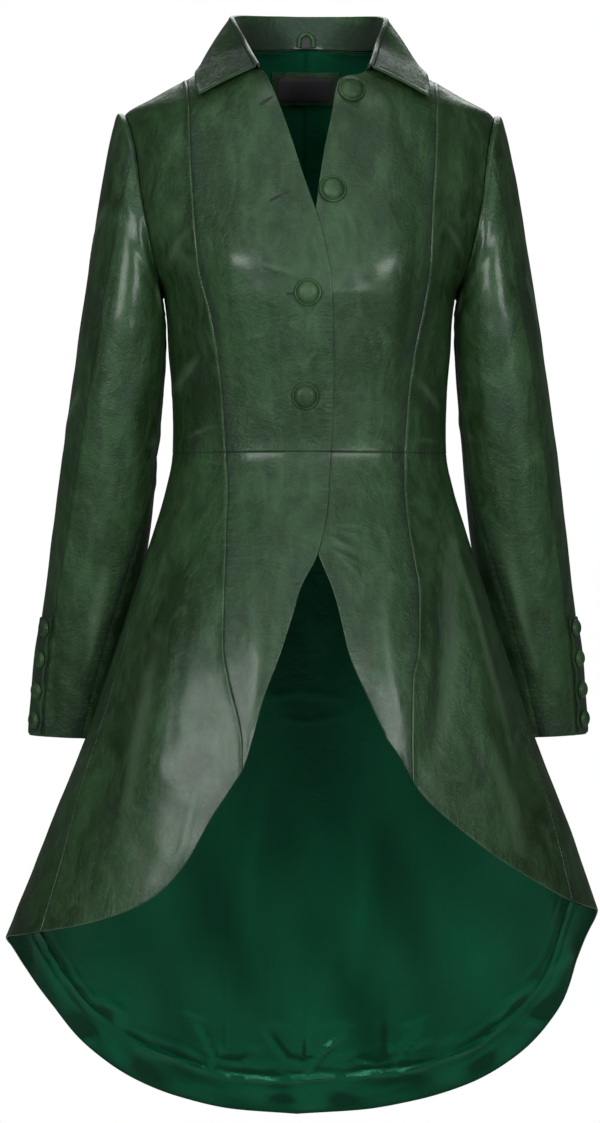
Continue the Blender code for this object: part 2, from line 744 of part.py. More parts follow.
def sleeve(side):
    """The two pieces of one sleeve, its vent's flap and the buttons on the flap."""
    down = np.array([row.down for row in RINGS], float)
    outer, inner = sleeve_seam["outer"](down), sleeve_seam["inner"](down)
    front = form_face(armhole_line(ARMHOLE_ROWS, side, False), side)
    back = form_face(armhole_line(ARMHOLE_ROWS, side, True), side)
    over = round(ARMHOLE_ROWS * OUTER_SEAM_SHARE)
    start = np.concatenate([front[over:], back[::-1][1:], front[1:over]])
    front_columns, columns = len(front) - 1 - over, len(start)
    share = np.arange(columns)[:, None]
    in_front = outer + (inner - outer) * share / front_columns
    behind = inner + (outer + 360 - inner) * (share - front_columns) / (columns - front_columns)
    psi = np.where(share < front_columns, in_front, behind)
    points = sleeve_surface(psi, np.broadcast_to(down, psi.shape), start, side)
    around = np.roll(points, -1, axis=0) - np.roll(points, 1, axis=0)
    normals = SIDES[side] * unit(np.cross(around, np.gradient(points, axis=1)))
    inside = points - normals * LEATHER
    front_piece = np.arange(front_columns + 1)
    back_piece = np.arange(front_columns, columns + 1) % columns
    for name, piece in (("sleeve_front_", front_piece), ("sleeve_back_", back_piece)):
        wall(name + side, points[piece], inside[piece])

    down = np.linspace(VENT_TOP, VENT_LOW, VENT_ROWS + 1)
    near = sleeve_seam["outer"](down) - VENT_NEAR
    far = sleeve_seam["outer"](down) - VENT_FAR
    psi = far + (near - far) * np.linspace(0, 1, VENT_COLUMNS + 1)[:, None]
    points = sleeve_rings(psi, np.broadcast_to(down, psi.shape), side)
    normals = surface_normals(points, SIDES[side])
    lift = LAYER_GAP + VENT_WALL
    wall("vent_" + side, points + normals * lift, points + normals * LAYER_GAP)
    for number, place in enumerate(CUFF_BUTTONS_DOWN, 1):
        point, normal = sleeve_spot(CUFF_BUTTON_ANGLE, place, side)
        name = f"button_cuff_{side}_{number}"
        button(name, point + normal * (lift + BUTTON_GAP), normal, CUFF_BUTTON_RADIUS, CUFF_BUTTON_HEIGHT)


def sleeve_spot(psi, down, side):
    """A point on the sleeve and the normal there."""
    steps = np.array([-1.0, 0.0, 1.0])
    psi, down = np.meshgrid(psi + steps, down + steps, indexing="ij")
    points = sleeve_rings(psi, down, side)
    return points[1, 1], surface_normals(points, SIDES[side])[1, 1]


def form_spot(out, z, side):
    """A point on the front of the form and the normal there."""
    spots = np.array([[float(front_angle(out, z)), z]])
    surface, below = form_face(spots, side)[0], form_face(spots, side, 1.0)[0]
    return surface, surface - below


def button(name, place, normal, radius, height):
    """A domed, covered button, turned round its axis."""
    profile = [Vector((reach * radius, 0, rise * height)) for reach, rise in BUTTON_PROFILE]
    bm = bmesh.new()
    verts = [bm.verts.new(point) for point in profile]
    edges = [bm.edges.new(pair) for pair in zip(verts, verts[1:])]
    turn = {"angle": math.tau, "steps": BUTTON_SIDES, "axis": (0, 0, 1), "cent": (0, 0, 0)}
    bmesh.ops.spin(bm, geom=verts + edges, use_merge=True, **turn)
    bmesh.ops.remove_doubles(bm, verts=bm.verts, dist=0.01)
    facing = Vector((0, 0, 1)).rotation_difference(Vector(normal)).to_matrix().to_4x4()
    seat = Matrix.Scale(MM, 4) @ Matrix.Translation(place) @ facing
    bmesh.ops.transform(bm, matrix=seat, verts=bm.verts)
    return finish(name, bm, "leather")


def collar_line(angle, place):
    """Points of the collar's table at angles that run past the centre back to the right side."""
    mirror = np.where(angle > CENTRE_BACK, -1, 1)
    folded = np.where(angle > CENTRE_BACK, 2 * CENTRE_BACK - angle, angle)
    x, y, z = (collar[place + axis](folded) for axis in ("_x", "_y", "_z"))
    return np.stack([x * mirror, y, z], axis=-1)


def build_collar():
    """The collar: a stand up from the neck seam, a round fold and a fall that lies over the shoulders."""
    angle = np.linspace(COLLAR_END_ANGLE, 2 * CENTRE_BACK - COLLAR_END_ANGLE, COLLAR_COLUMNS + 1)
    mirror = np.where(angle > CENTRE_BACK, -1, 1)[:, None] * np.array([1, 0, 0]) + np.array([0, 1, 1])
    folded = np.where(angle > CENTRE_BACK, 2 * CENTRE_BACK - angle, angle)
    spots = np.stack([folded, neck_z(folded)], axis=-1)
    foot = form_face(spots, "left") * mirror + np.array([0, 0, COLLAR_GAP])
    fold, edge = collar_line(angle, "fold"), collar_line(angle, "edge")
    away = unit((edge - foot) * np.array([1, 1, 0]))
    foot = foot - away * COLLAR_GAP
    seam = foot - away * COLLAR_WALL
    up = np.array([0.0, 0.0, 1.0])
    centre = fold - up * FOLD_RADIUS
    rows = []
    for share in np.linspace(0, 1, STAND_ROWS + 1)[:-1]:
        rows.append(seam + (centre - away * FOLD_RADIUS - seam) * share)
    for turn in np.linspace(0, math.pi, FOLD_ROWS + 1):
        rows.append(centre + FOLD_RADIUS * (up * math.sin(turn) - away * math.cos(turn)))
    start = centre + away * FOLD_RADIUS
    for share in np.linspace(0, 1, FALL_ROWS + 1)[1:]:
        rows.append(start + (edge - start) * share + away * FALL_BULGE * math.sin(math.pi * share))
    points = np.stack(rows, axis=1)
    behind = points - surface_normals(points, -1) * COLLAR_WALL
    behind[:, 0] = foot
    wall("collar", points, behind)


def neck_patch(name, size, depth, thickness, slot):
    """A small piece inside the centre back, on the lining's own form."""
    width, height = size
    out = np.linspace(-width / 2, width / 2, PATCH_COLUMNS + 1)
    z = LABEL_Z + np.linspace(height / 2, -height / 2, PATCH_ROWS + 1)
    out, z = np.meshgrid(out, z, indexing="ij")
    grid = np.stack([CENTRE_BACK + front_angle(out, z), z], axis=-1)
    wall(name, form_face(grid, "left", depth), form_face(grid, "left", depth + thickness), slot)


def stand_plane(x, rise, depth):
    """Points a distance up the inside of the collar's stand at the centre back, and a depth before it."""
    seam = form_face(np.array([[CENTRE_BACK, float(neck_z(CENTRE_BACK))]]), "left")[0]
    seam = seam + np.array([0, -COLLAR_GAP - COLLAR_WALL, COLLAR_GAP])
    top = collar_line(np.array([CENTRE_BACK]), "fold")[0] - np.array([0, FOLD_RADIUS, FOLD_RADIUS])
    up = unit(top - seam)
    ahead = np.cross(up, [1.0, 0.0, 0.0])
    ahead = ahead * -np.sign(ahead[1])
    bend = STAND_CURVE * x**2
    across = np.array([1.0, 0.0, 0.0])
    return seam + up * rise[..., None] + ahead * (depth + bend)[..., None] + across * x[..., None]


def hanger_loop():
    """A strip bent into an arch on the collar's stand, with the size tab below it."""
    middle = LOOP_WIDTH / 2 - LOOP_STRIP / 2
    turn = np.linspace(0, math.pi, LOOP_COLUMNS - 1)
    straight = LOOP_RISE - LOOP_WIDTH / 2
    bend = [(-middle * math.cos(t), straight + middle * math.sin(t), -math.cos(t), math.sin(t)) for t in turn]
    path = [(-middle, 0, -1, 0)] + bend + [(middle, 0, 1, 0)]
    half = LOOP_STRIP / 2
    spots = np.array([[(x + s * half * nx, z + s * half * nz) for s in (-1, 1)] for x, z, nx, nz in path])
    near, far = LOOP_DEPTH, LOOP_DEPTH + LOOP_WALL
    x, rise = spots[..., 0], spots[..., 1] + LOOP_FOOT
    wall("hanger_loop", stand_plane(x, rise, near), stand_plane(x, rise, far), gap=0, low_gap=0)
    width, height = TAB_SIZE
    x, rise = np.meshgrid(np.linspace(-width / 2, width / 2, 3), np.linspace(0, height, 2), indexing="ij")
    x, rise = x - TAB_ASIDE, rise + LOOP_FOOT
    near, far = LAYER_GAP, LAYER_GAP + TAB_WALL
    wall("size_tab", stand_plane(x, rise, near), stand_plane(x, rise, far), "label", 0, 0)


def main():
    for obj in list(bpy.data.objects):
        bpy.data.objects.remove(obj)
    grids = {side: bodice(side) for side in SIDES}
    back_lining(grids)
    for side in SIDES:
        skirt(side)
        sleeve(side)
    build_collar()
    depth = LEATHER + SATIN + 2 * LAYER_GAP + PATCH_LIFT
    neck_patch("label_patch", PATCH_SIZE, depth, PATCH_WALL, "leather")
    neck_patch("label", LABEL_SIZE, depth + PATCH_WALL + LAYER_GAP, LABEL_WALL, "label")
    hanger_loop()
    for number, (side, z, out) in enumerate(FRONT_BUTTONS, 1):
        point, normal = form_spot(out, z, side)
        button(f"button_front_{number}", point + normal * BUTTON_GAP, normal, BUTTON_RADIUS, BUTTON_HEIGHT)


main()
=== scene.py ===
"""The leather tailcoat: its leather and satin, seams, creases, buttons and the scene round them.

The pieces repeat the named sizes of the coat's solids and divide them finely. The tables are in
millimetres and the scene is in metres. +Z is up, -Y is the front and +X is the wearer's left.
"""

import math
from collections import namedtuple

import bmesh
import bpy
import numpy as np
from mathutils import Matrix, Vector


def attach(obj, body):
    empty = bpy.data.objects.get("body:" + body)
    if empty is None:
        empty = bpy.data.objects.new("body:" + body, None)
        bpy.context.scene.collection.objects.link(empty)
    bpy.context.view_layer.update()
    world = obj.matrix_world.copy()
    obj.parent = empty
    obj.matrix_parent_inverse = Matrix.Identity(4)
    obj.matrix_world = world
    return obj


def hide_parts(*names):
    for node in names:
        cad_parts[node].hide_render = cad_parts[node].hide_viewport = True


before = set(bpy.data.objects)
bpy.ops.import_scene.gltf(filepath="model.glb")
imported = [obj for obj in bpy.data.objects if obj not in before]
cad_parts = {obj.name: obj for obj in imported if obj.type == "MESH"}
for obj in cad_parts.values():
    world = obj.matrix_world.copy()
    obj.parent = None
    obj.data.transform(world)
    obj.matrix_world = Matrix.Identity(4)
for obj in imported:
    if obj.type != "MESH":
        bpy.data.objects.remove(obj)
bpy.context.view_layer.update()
ROOT = "root"

MM = 0.001

# Driving sizes
LEATHER = 2.0
SATIN = 0.8
COLLAR_WALL = 2.4
COLLAR_GAP = 0.9
SEAM_GAP = 0.32
LAYER_GAP = 0.4
LAP = 3.0
NECK_Z = 11.0
SHOULDER_Z = -59.0
UNDERARM_Z = -245.0
WAIST_Z = -410.0
COLLAR_END_ANGLE = 27.0
NECK_CORNER_ANGLE = {"right": 27.0, "left": 15.0}
LAP_FULL, LAP_NONE = 42.0, 84.0
CENTRE_BACK = 180.0
SIDES = {"right": -1, "left": 1}


def table(kind, *rows):
    """Rows with named columns."""
    return tuple(kind(*row) for row in rows)


# The form, as level sections: half the width, and the depth in front of and behind the line of the sides
Section = namedtuple("Section", "z half_width front_depth back_depth centre_y")
SECTIONS = table(
    Section,
    (19, 43, 40, 54, 8),
    (11, 70, 52, 60, 8),
    (2, 86, 66, 65, 8),
    (-16, 118, 88, 72, 8),
    (-40, 161, 98, 82, 7),
    (-59, 192, 101, 88, 5),
    (-75, 197, 104, 92, 4),
    (-100, 199, 108, 98, 3),
    (-150, 196, 114, 105, 1),
    (-200, 178, 120, 108, 0),
    (-225, 163, 122, 108, 0),
    (-245, 152, 122, 107, 0),
    (-278, 148, 118, 103, 0),
    (-300, 147, 115, 100, 0),
    (-343, 143.5, 107, 92, 0),
    (-385, 142, 100, 86, 0),
    (-410, 142.5, 97, 85, 0),
    (-447, 149.5, 101, 93, -3),
    (-489, 162, 110, 106, -7),
    (-552, 182, 120, 124, -13),
    (-614, 202, 127, 140, -18),
    (-666, 219, 131, 153, -21),
    (-718, 238, 134, 166, -23),
    (-770, 259, 137, 178, -24),
    (-822, 279, 140, 190, -25),
    (-874, 298, 143, 201, -25),
    (-912, 313, 145, 209, -25),
    (-1000, 346, 150, 230, -25),
    (-1130, 395, 156, 265, -25),
)

# How far the skirt swings aside
Lean = namedtuple("Lean", "z x")
LEAN = table(
    Lean,
    (11, 0),
    (-640, 0),
    (-820, -1.5),
    (-880, -3.2),
    (-910, -3.4),
    (-1000, 0),
    (-1130, 0),
)

# The neck seam, by the angle round the form from the centre front
Neckline = namedtuple("Neckline", "angle z")
NECKLINE = table(
    Neckline,
    (0, -29),
    (15, -24),
    (27, -19),
    (40, -6),
    (57, 4),
    (75, 9),
    (90, 11),
    (120, 14),
    (150, 17.5),
    (180, 19),
)

# The armhole, seen from the front
Armhole = namedtuple("Armhole", "z x")
ARMHOLE = table(
    Armhole,
    (-59, 192),
    (-75, 186.7),
    (-101, 181),
    (-135, 177),
    (-187, 168),
    (-210, 163.5),
    (-230, 158),
    (-245, 152),
)

# The front edges: how far out from the centre line, with less than nothing where a front laps past it
Edge = namedtuple("Edge", "z right left")
FRONT_EDGE = table(
    Edge,
    (-12, 54, 29),
    (-40, 42.7, 21.7),
    (-70, 31.7, 16),
    (-100, 22, 9.5),
    (-132, 12, 4),
    (-160, 2.4, 0),
    (-181, -4.6, -4),
    (-207, -10.5, -8),
    (-232, -14.2, -11),
    (-257, -16.2, -13),
    (-297, -17.9, -15.5),
    (-338, -18.7, -16.5),
    (-379, -17.7, -16.8),
    (-410, -16.5, -16.5),
    (-439, -14.7, -15),
    (-465, -12.7, -12),
    (-490, -7.4, -6.5),
    (-515, -0.6, 2),
    (-548, 16.5, 15.3),
    (-574, 24.5, 22.5),
    (-613, 37.4, 31.5),
    (-660, 55.2, 51.5),
    (-694, 64.4, 67.5),
    (-722, 71.5, 85.5),
    (-749, 87, 98),
)

# The princess seams, from the shoulder seam to the cutaway edge, as distances out from the centre line
Princess = namedtuple("Princess", "z right left")
FRONT_PRINCESS = table(
    Princess,
    (-22.2, 129, 129),
    (-51, 127, 126),
    (-100, 126, 124),
    (-166, 122, 119),
    (-218, 116, 115),
    (-262, 105, 109),
    (-320, 97, 100),
    (-360, 93, 96),
    (-410, 90, 93),
    (-446, 88, 92),
    (-487, 90, 95),
    (-520, 91, 100),
    (-548, 92.5, 104),
    (-609, 94, 102.5),
    (-640, 89, 96),
    (-706, 76, 94.5),
    (-749, 76, 95),
)
BACK_PRINCESS = table(
    Princess,
    (-22.2, 129, 129),
    (-60, 118, 118),
    (-120, 104, 104),
    (-200, 92, 92),
    (-300, 82, 82),
    (-410, 74, 74),
    (-500, 77, 77),
    (-700, 82, 82),
    (-900, 86, 86),
    (-1130, 91, 91),
)
PRINCESS_TOP_Z = -22.2
EDGE_MEETS_HEM = {"right": -690.0, "left": -694.0}
POINT_WIDTH = 5.0

# The side seam, as an angle round the form
SideSeam = namedtuple("SideSeam", "z angle")
SIDE_SEAM = table(
    SideSeam,
    (-245, 90),
    (-410, 88),
    (-447, 86),
    (-489, 82),
    (-552, 77),
    (-614, 75),
    (-718, 72),
    (-822, 66),
    (-920, 63),
)

# The hem, by the angle round the form from the centre front
Hem = namedtuple("Hem", "angle right left")
HEM = table(
    Hem,
    (15, -680, -684),
    (16.2, -692, -692),
    (18, -728, -703),
    (20.3, -748, -718),
    (24, -779, -752),
    (28.5, -827, -774),
    (34, -858, -795),
    (42, -876.5, -822),
    (52, -888.5, -846.5),
    (63, -896, -866.5),
    (75, -902.5, -877),
    (88, -907, -883),
    (102, -919, -902),
    (117, -951, -945),
    (128, -991, -1004),
    (140, -1042, -1057),
    (150, -1078, -1089),
    (160, -1106, -1112),
    (170, -1123, -1125),
    (180, -1129.5, -1129.5),
)

# The largest folds. A fold runs down between two heights at an angle round the form, and swings as it goes
Fold = namedtuple("Fold", "side top_z low_z top_angle low_angle height width")
FOLDS = table(
    Fold,
    ("left", -480, -740, 62, 27, -5.0, 15),
    ("left", -540, -800, 62, 42, 5.0, 30),
    ("right", -520, -800, 48, 40, 4.5, 32),
    ("right", -560, -830, 66, 58, -3.5, 22),
    ("right", -700, -1110, 116, 124, 5.0, 38),
    ("left", -700, -1110, 116, 124, 5.0, 38),
    ("right", -600, -1150, 148, 150, -6.0, 46),
    ("left", -600, -1150, 148, 150, -6.0, 46),
)
FOLD_FADE = 90.0

# The bust, which the princess seams shape
CUP_X, CUP_Z, CUP_WIDTH, CUP_HEIGHT, CUP_RISE = 82.0, -228.0, 44.0, 62.0, 9.0

# The sleeve's rings: the outer and the inner end of each seen from the front, and its half depth and middle
Ring = namedtuple("Ring", "down outer_x outer_z inner_x inner_z half_depth centre_y")
RINGS = table(
    Ring,
    (0, 193.0, -58.6, 152.7, -245.4, 50, 2),
    (8, 199.5, -57.5, 152.5, -248, 53, 2),
    (24, 205, -72, 152.3, -251, 55, 2),
    (50, 211, -100, 151.8, -256, 57, 2),
    (90, 218, -140, 151.2, -263, 58, 3),
    (145, 226.5, -195, 150.6, -273, 59, 4),
    (200, 235.5, -250, 150.3, -288, 59, 6),
    (255, 243.5, -305, 151, -315, 58, 10),
    (307, 251, -356, 154.4, -354, 56, 15),
    (357, 258.5, -406, 159, -406, 53, 22),
    (410, 265.8, -458, 164, -458, 50, 31),
    (463, 272.5, -510, 170.5, -510, 48, 42),
    (516, 279.5, -563, 178, -563, 46, 53),
    (569, 287.5, -615, 187, -615, 44, 65),
    (622, 293.5, -668, 196, -668, 42, 77),
    (661, 296.5, -705, 203, -709, 41, 85),
)
SLEEVE_LENGTH = RINGS[-1].down
SLEEVE_ASIDE = 4.5
ARMHOLE_BLEND = 90.0

# The sleeve's two seams, as angles round its rings from the outer end by the front
SleeveSeam = namedtuple("SleeveSeam", "down outer inner")
SLEEVE_SEAMS = table(
    SleeveSeam,
    (0, 60, 180),
    (90, 58, 178),
    (255, 52, 172),
    (357, 48, 166),
    (410, 46, 156),
    (463, 44, 136),
    (516, 42, 123),
    (569, 43, 113),
    (622, 45, 106),
    (661, 47, 101),
)
OUTER_SEAM_SHARE = 1 / 3

# The collar, by the neck seam's angle: the fold at its top, and the outer edge of its fall
Collar = namedtuple("Collar", "angle fold_x fold_y fold_z edge_x edge_y edge_z")
COLLAR = table(
    Collar,
    (27, 58, -80, -14, 118, -76, -45),
    (40, 64, -56, 1, 121, -57, -35),
    (57, 69, -30, 16, 121, -34, -20),
    (75, 78, -8, 36, 117, -10, -12),
    (90, 80.5, 12, 46, 115.5, 12, -9),
    (120, 72, 38, 51.5, 101, 48, -7),
    (150, 41, 58, 53.5, 56, 72, -5),
    (180, 0, 65, 54, 0, 81, -3),
)
FOLD_RADIUS = 3.2
FALL_BULGE = 2.0

# Buttons: the place on the front, as the height and the distance out from the centre line
BUTTON_RADIUS, BUTTON_HEIGHT = 14.0, 7.5
FRONT_BUTTONS = (("left", -40, 38.0), ("left", -144.5, 17.0), ("right", -250, 9.0), ("right", -354, 10.5))
CUFF_BUTTON_RADIUS, CUFF_BUTTON_HEIGHT = 9.0, 5.0
CUFF_BUTTONS_DOWN = (545.0, 578.0, 611.0, 643.0)
CUFF_BUTTON_ANGLE = 30.0

# The vent's flap, which lies on the sleeve behind the outer seam
VENT_TOP, VENT_LOW = 533.0, 659.0
VENT_NEAR, VENT_FAR = 2.0, 41.0
VENT_WALL = 1.6

# What is sewn inside the back neck
LABEL_SIZE = (60.0, 23.0)
PATCH_SIZE = (74.0, 33.0)
LABEL_Z = -19.0
PATCH_WALL, LABEL_WALL, PATCH_LIFT = 1.2, 0.8, 1.4
LINING_NECK_DROP = 1.5
LOOP_WIDTH, LOOP_RISE, LOOP_STRIP, LOOP_WALL = 19.0, 16.5, 4.2, 2.2
LOOP_FOOT, LOOP_DEPTH = 0.3, 1.5
STAND_CURVE = 0.006
TAB_SIZE = (10.5, 7.0)
TAB_ASIDE = 2.0
TAB_WALL = 0.8
LINING_HEM = 3.0

# How finely each piece is divided, and how the steps gather by its edges
LINE_SAMPLES, ROW_SAMPLES = 241, 3
ARMHOLE_ROWS, SIDE_ROWS = 60, 42
NECK_COLUMNS, RIDGE_COLUMNS, SIDE_COLUMNS = 26, 12, 22
SKIRT_ROWS, TAIL_ROWS, LINING_ROWS = 116, 120, 210
SKIRT_FRONT_COLUMNS, SKIRT_SIDE_COLUMNS = 30, 36
TAIL_SIDE_COLUMNS, TAIL_COLUMNS = 56, 18
LINING_SIDE_COLUMNS, LINING_COLUMNS = 78, 24
SLEEVE_ROWS, SLEEVE_SHOULDER_ROWS = 170, 42
COLLAR_COLUMNS, STAND_ROWS, FOLD_ROWS, FALL_ROWS = 170, 12, 10, 24
VENT_COLUMNS, VENT_ROWS = 16, 48
PATCH_COLUMNS, PATCH_ROWS = 40, 20
LOOP_COLUMNS, LOOP_ROWS = 40, 6
BUTTON_STEPS = 64
EDGE_STEPS = (0.35, 0.8, 1.4, 2.2, 3.4)
SMOOTH_ANGLE = 50

# How an edge lies: rolled and free, over the allowance of a seam, beside it, or plainly sewn
FREE, OVER, UNDER, SEWN = "free", "over", "under", "sewn"
Edges = namedtuple("Edges", "first last top low")
EDGE_ROLL = 1.15
SEAM_ROLL = 1.6
FACING = 44.0

# Creases, in millimetres: how high and how wide, and the line of each as seen from the front
Crease = namedtuple("Crease", "height width points")
RIGHT_FRONT_CREASES = table(
    Crease,
    (0.9, 3.0, ((-54.6, -221.7), (-34, -227), (-16, -234))),
    (-0.5, 4.0, ((-52, -230), (-30, -236), (-14, -241))),
    (0.45, 2.2, ((-77, -297.5), (-60, -293), (-41, -290.5))),
    (0.5, 3.0, ((-16, -330), (-6, -316), (4, -302))),
    (0.6, 3.5, ((-8, -372), (4, -361), (14, -352))),
    (-0.4, 3.0, ((-22, -398), (-2, -386), (13, -381))),
    (-1.1, 4.5, ((-110, -317), (-126, -341), (-142, -364))),
    (0.8, 6.0, ((-117, -311), (-133, -335), (-146, -352))),
    (0.7, 3.0, ((-97, -385), (-112, -387), (-130, -396))),
    (-0.5, 3.5, ((-98, -390), (-114, -394), (-132, -404))),
    (0.5, 4.0, ((-60, -96), (-72, -84), (-88, -70))),
    (-0.5, 5.0, ((-128, -168), (-146, -190), (-160, -212))),
    (0.6, 5.0, ((-126, -178), (-142, -202), (-150, -226))),
    (0.4, 2.5, ((-31, -176), (-44, -170), (-58, -172))),
    (0.5, 3.0, ((12, -252), (2, -262), (-2, -276))),
)
LEFT_FRONT_CREASES = table(
    Crease,
    (0.5, 2.5, ((9, -247), (30, -248), (58, -247))),
    (-1.0, 4.5, ((100, -343), (114, -358), (127, -377))),
    (0.8, 5.0, ((106, -336), (121, -352), (133, -368))),
    (-0.5, 5.0, ((112, -280), (124, -312), (134, -342))),
    (0.5, 4.0, ((22, -150), (34, -172), (42, -196))),
    (-0.4, 4.0, ((60, -110), (66, -150), (64, -190))),
    (0.5, 4.0, ((128, -170), (146, -192), (158, -214))),
    (0.5, 2.6, ((18, -176), (26, -190), (28, -204))),
    (0.5, 3.0, ((99, -399), (116, -396), (134, -400))),
)
RIGHT_SKIRT_CREASES = table(
    Crease,
    (0.5, 2.2, ((-90, -424), (-106, -419), (-128, -418))),
    (-0.6, 5.0, ((-40, -470), (-34, -505), (-20, -538))),
    (0.8, 7.0, ((-66, -560), (-60, -620), (-66, -680))),
    (-0.7, 7.0, ((-128, -560), (-142, -640), (-150, -730))),
    (0.9, 8.0, ((-160, -600), (-178, -690), (-196, -780))),
    (-0.7, 6.0, ((-196, -720), (-214, -800), (-236, -880))),
    (0.6, 4.0, ((-120, -740), (-134, -800), (-150, -850))),
    (0.6, 2.5, ((-70, -770), (-92, -800), (-118, -822))),
    (0.4, 2.0, ((-232, -830), (-246, -866), (-262, -896))),
    (0.5, 2.6, ((-14, -455), (-2, -470), (4, -486))),
    (0.4, 2.2, ((-26, -500), (-10, -506), (2, -514))),
)
LEFT_SKIRT_CREASES = table(
    Crease,
    (0.6, 1.9, ((17.7, -485.7), (32, -484.6), (47.5, -485.7))),
    (0.45, 1.7, ((22.2, -489.4), (34, -493), (47.5, -497.2))),
    (0.6, 1.9, ((10.9, -495.3), (22.2, -500.9), (30.3, -504.9))),
    (0.5, 1.8, ((12.8, -500.9), (28, -505), (41.9, -510.8))),
    (0.6, 2.0, ((9, -504.9), (32.1, -518.5), (41.9, -522.4))),
    (0.45, 1.8, ((5, -506.9), (14, -516), (22.2, -526.2))),
    (0.6, 2.2, ((14.7, -510.8), (39.9, -532), (47.5, -547.4))),
    (-0.5, 2.4, ((12, -492), (27, -495.5), (45, -502))),
    (-0.5, 2.4, ((14, -506), (30, -512), (46, -518))),
    (-1.5, 3.2, ((144.6, -483.7), (127, -504.9), (123.6, -562.6), (125.3, -597.5), (115.7, -670.9),
                       (108, -722))),
    (1.1, 9.0, ((157, -486), (140, -515), (136, -562), (137, -600), (128, -672), (121, -724))),
    (-1.0, 3.5, ((150, -494), (171, -560), (194, -650), (211, -720))),
    (0.9, 4.5, ((143, -496), (163, -560), (185, -650), (203, -724))),
    (0.9, 3.0, ((258, -838), (263, -850), (267.9, -862))),
    (0.8, 3.2, ((271, -830), (279, -850), (285, -875))),
    (-0.7, 3.0, ((250, -822), (259, -846), (266, -866))),
    (0.7, 7.0, ((66, -560), (72, -620), (84, -680))),
    (-0.6, 8.0, ((150, -640), (164, -720), (184, -800))),
    (0.8, 9.0, ((176, -700), (196, -770), (214, -840))),
    (0.4, 3.0, ((56, -478), (70, -492), (78, -520))),
)
BACK_CREASES = table(
    Crease,
    (-0.8, 6.0, ((-64, -352), (-90, -368), (-118, -374))),
    (0.7, 5.0, ((-58, -366), (-84, -382), (-112, -390))),
    (-0.8, 6.0, ((66, -356), (92, -370), (116, -380))),
    (0.7, 5.0, ((60, -370), (86, -386), (108, -392))),
    (0.6, 5.0, ((-30, -340), (-4, -352), (26, -346))),
    (-0.6, 6.0, ((-34, -372), (0, -384), (32, -376))),
    (0.7, 7.0, ((-128, -150), (-110, -190), (-104, -232))),
    (0.7, 7.0, ((128, -146), (112, -188), (104, -236))),
    (-0.6, 9.0, ((-40, -90), (0, -104), (44, -92))),
    (-1.4, 16.0, ((-46, -560), (-52, -760), (-44, -980))),
    (1.2, 18.0, ((22, -540), (34, -760), (30, -1010))),
    (-1.2, 16.0, ((118, -600), (136, -800), (150, -980))),
    (1.2, 15.0, ((-124, -590), (-146, -780), (-164, -960))),
    (0.8, 8.0, ((-206, -800), (-216, -880), (-206, -950))),
    (-0.8, 8.0, ((204, -760), (218, -850), (212, -940))),
)
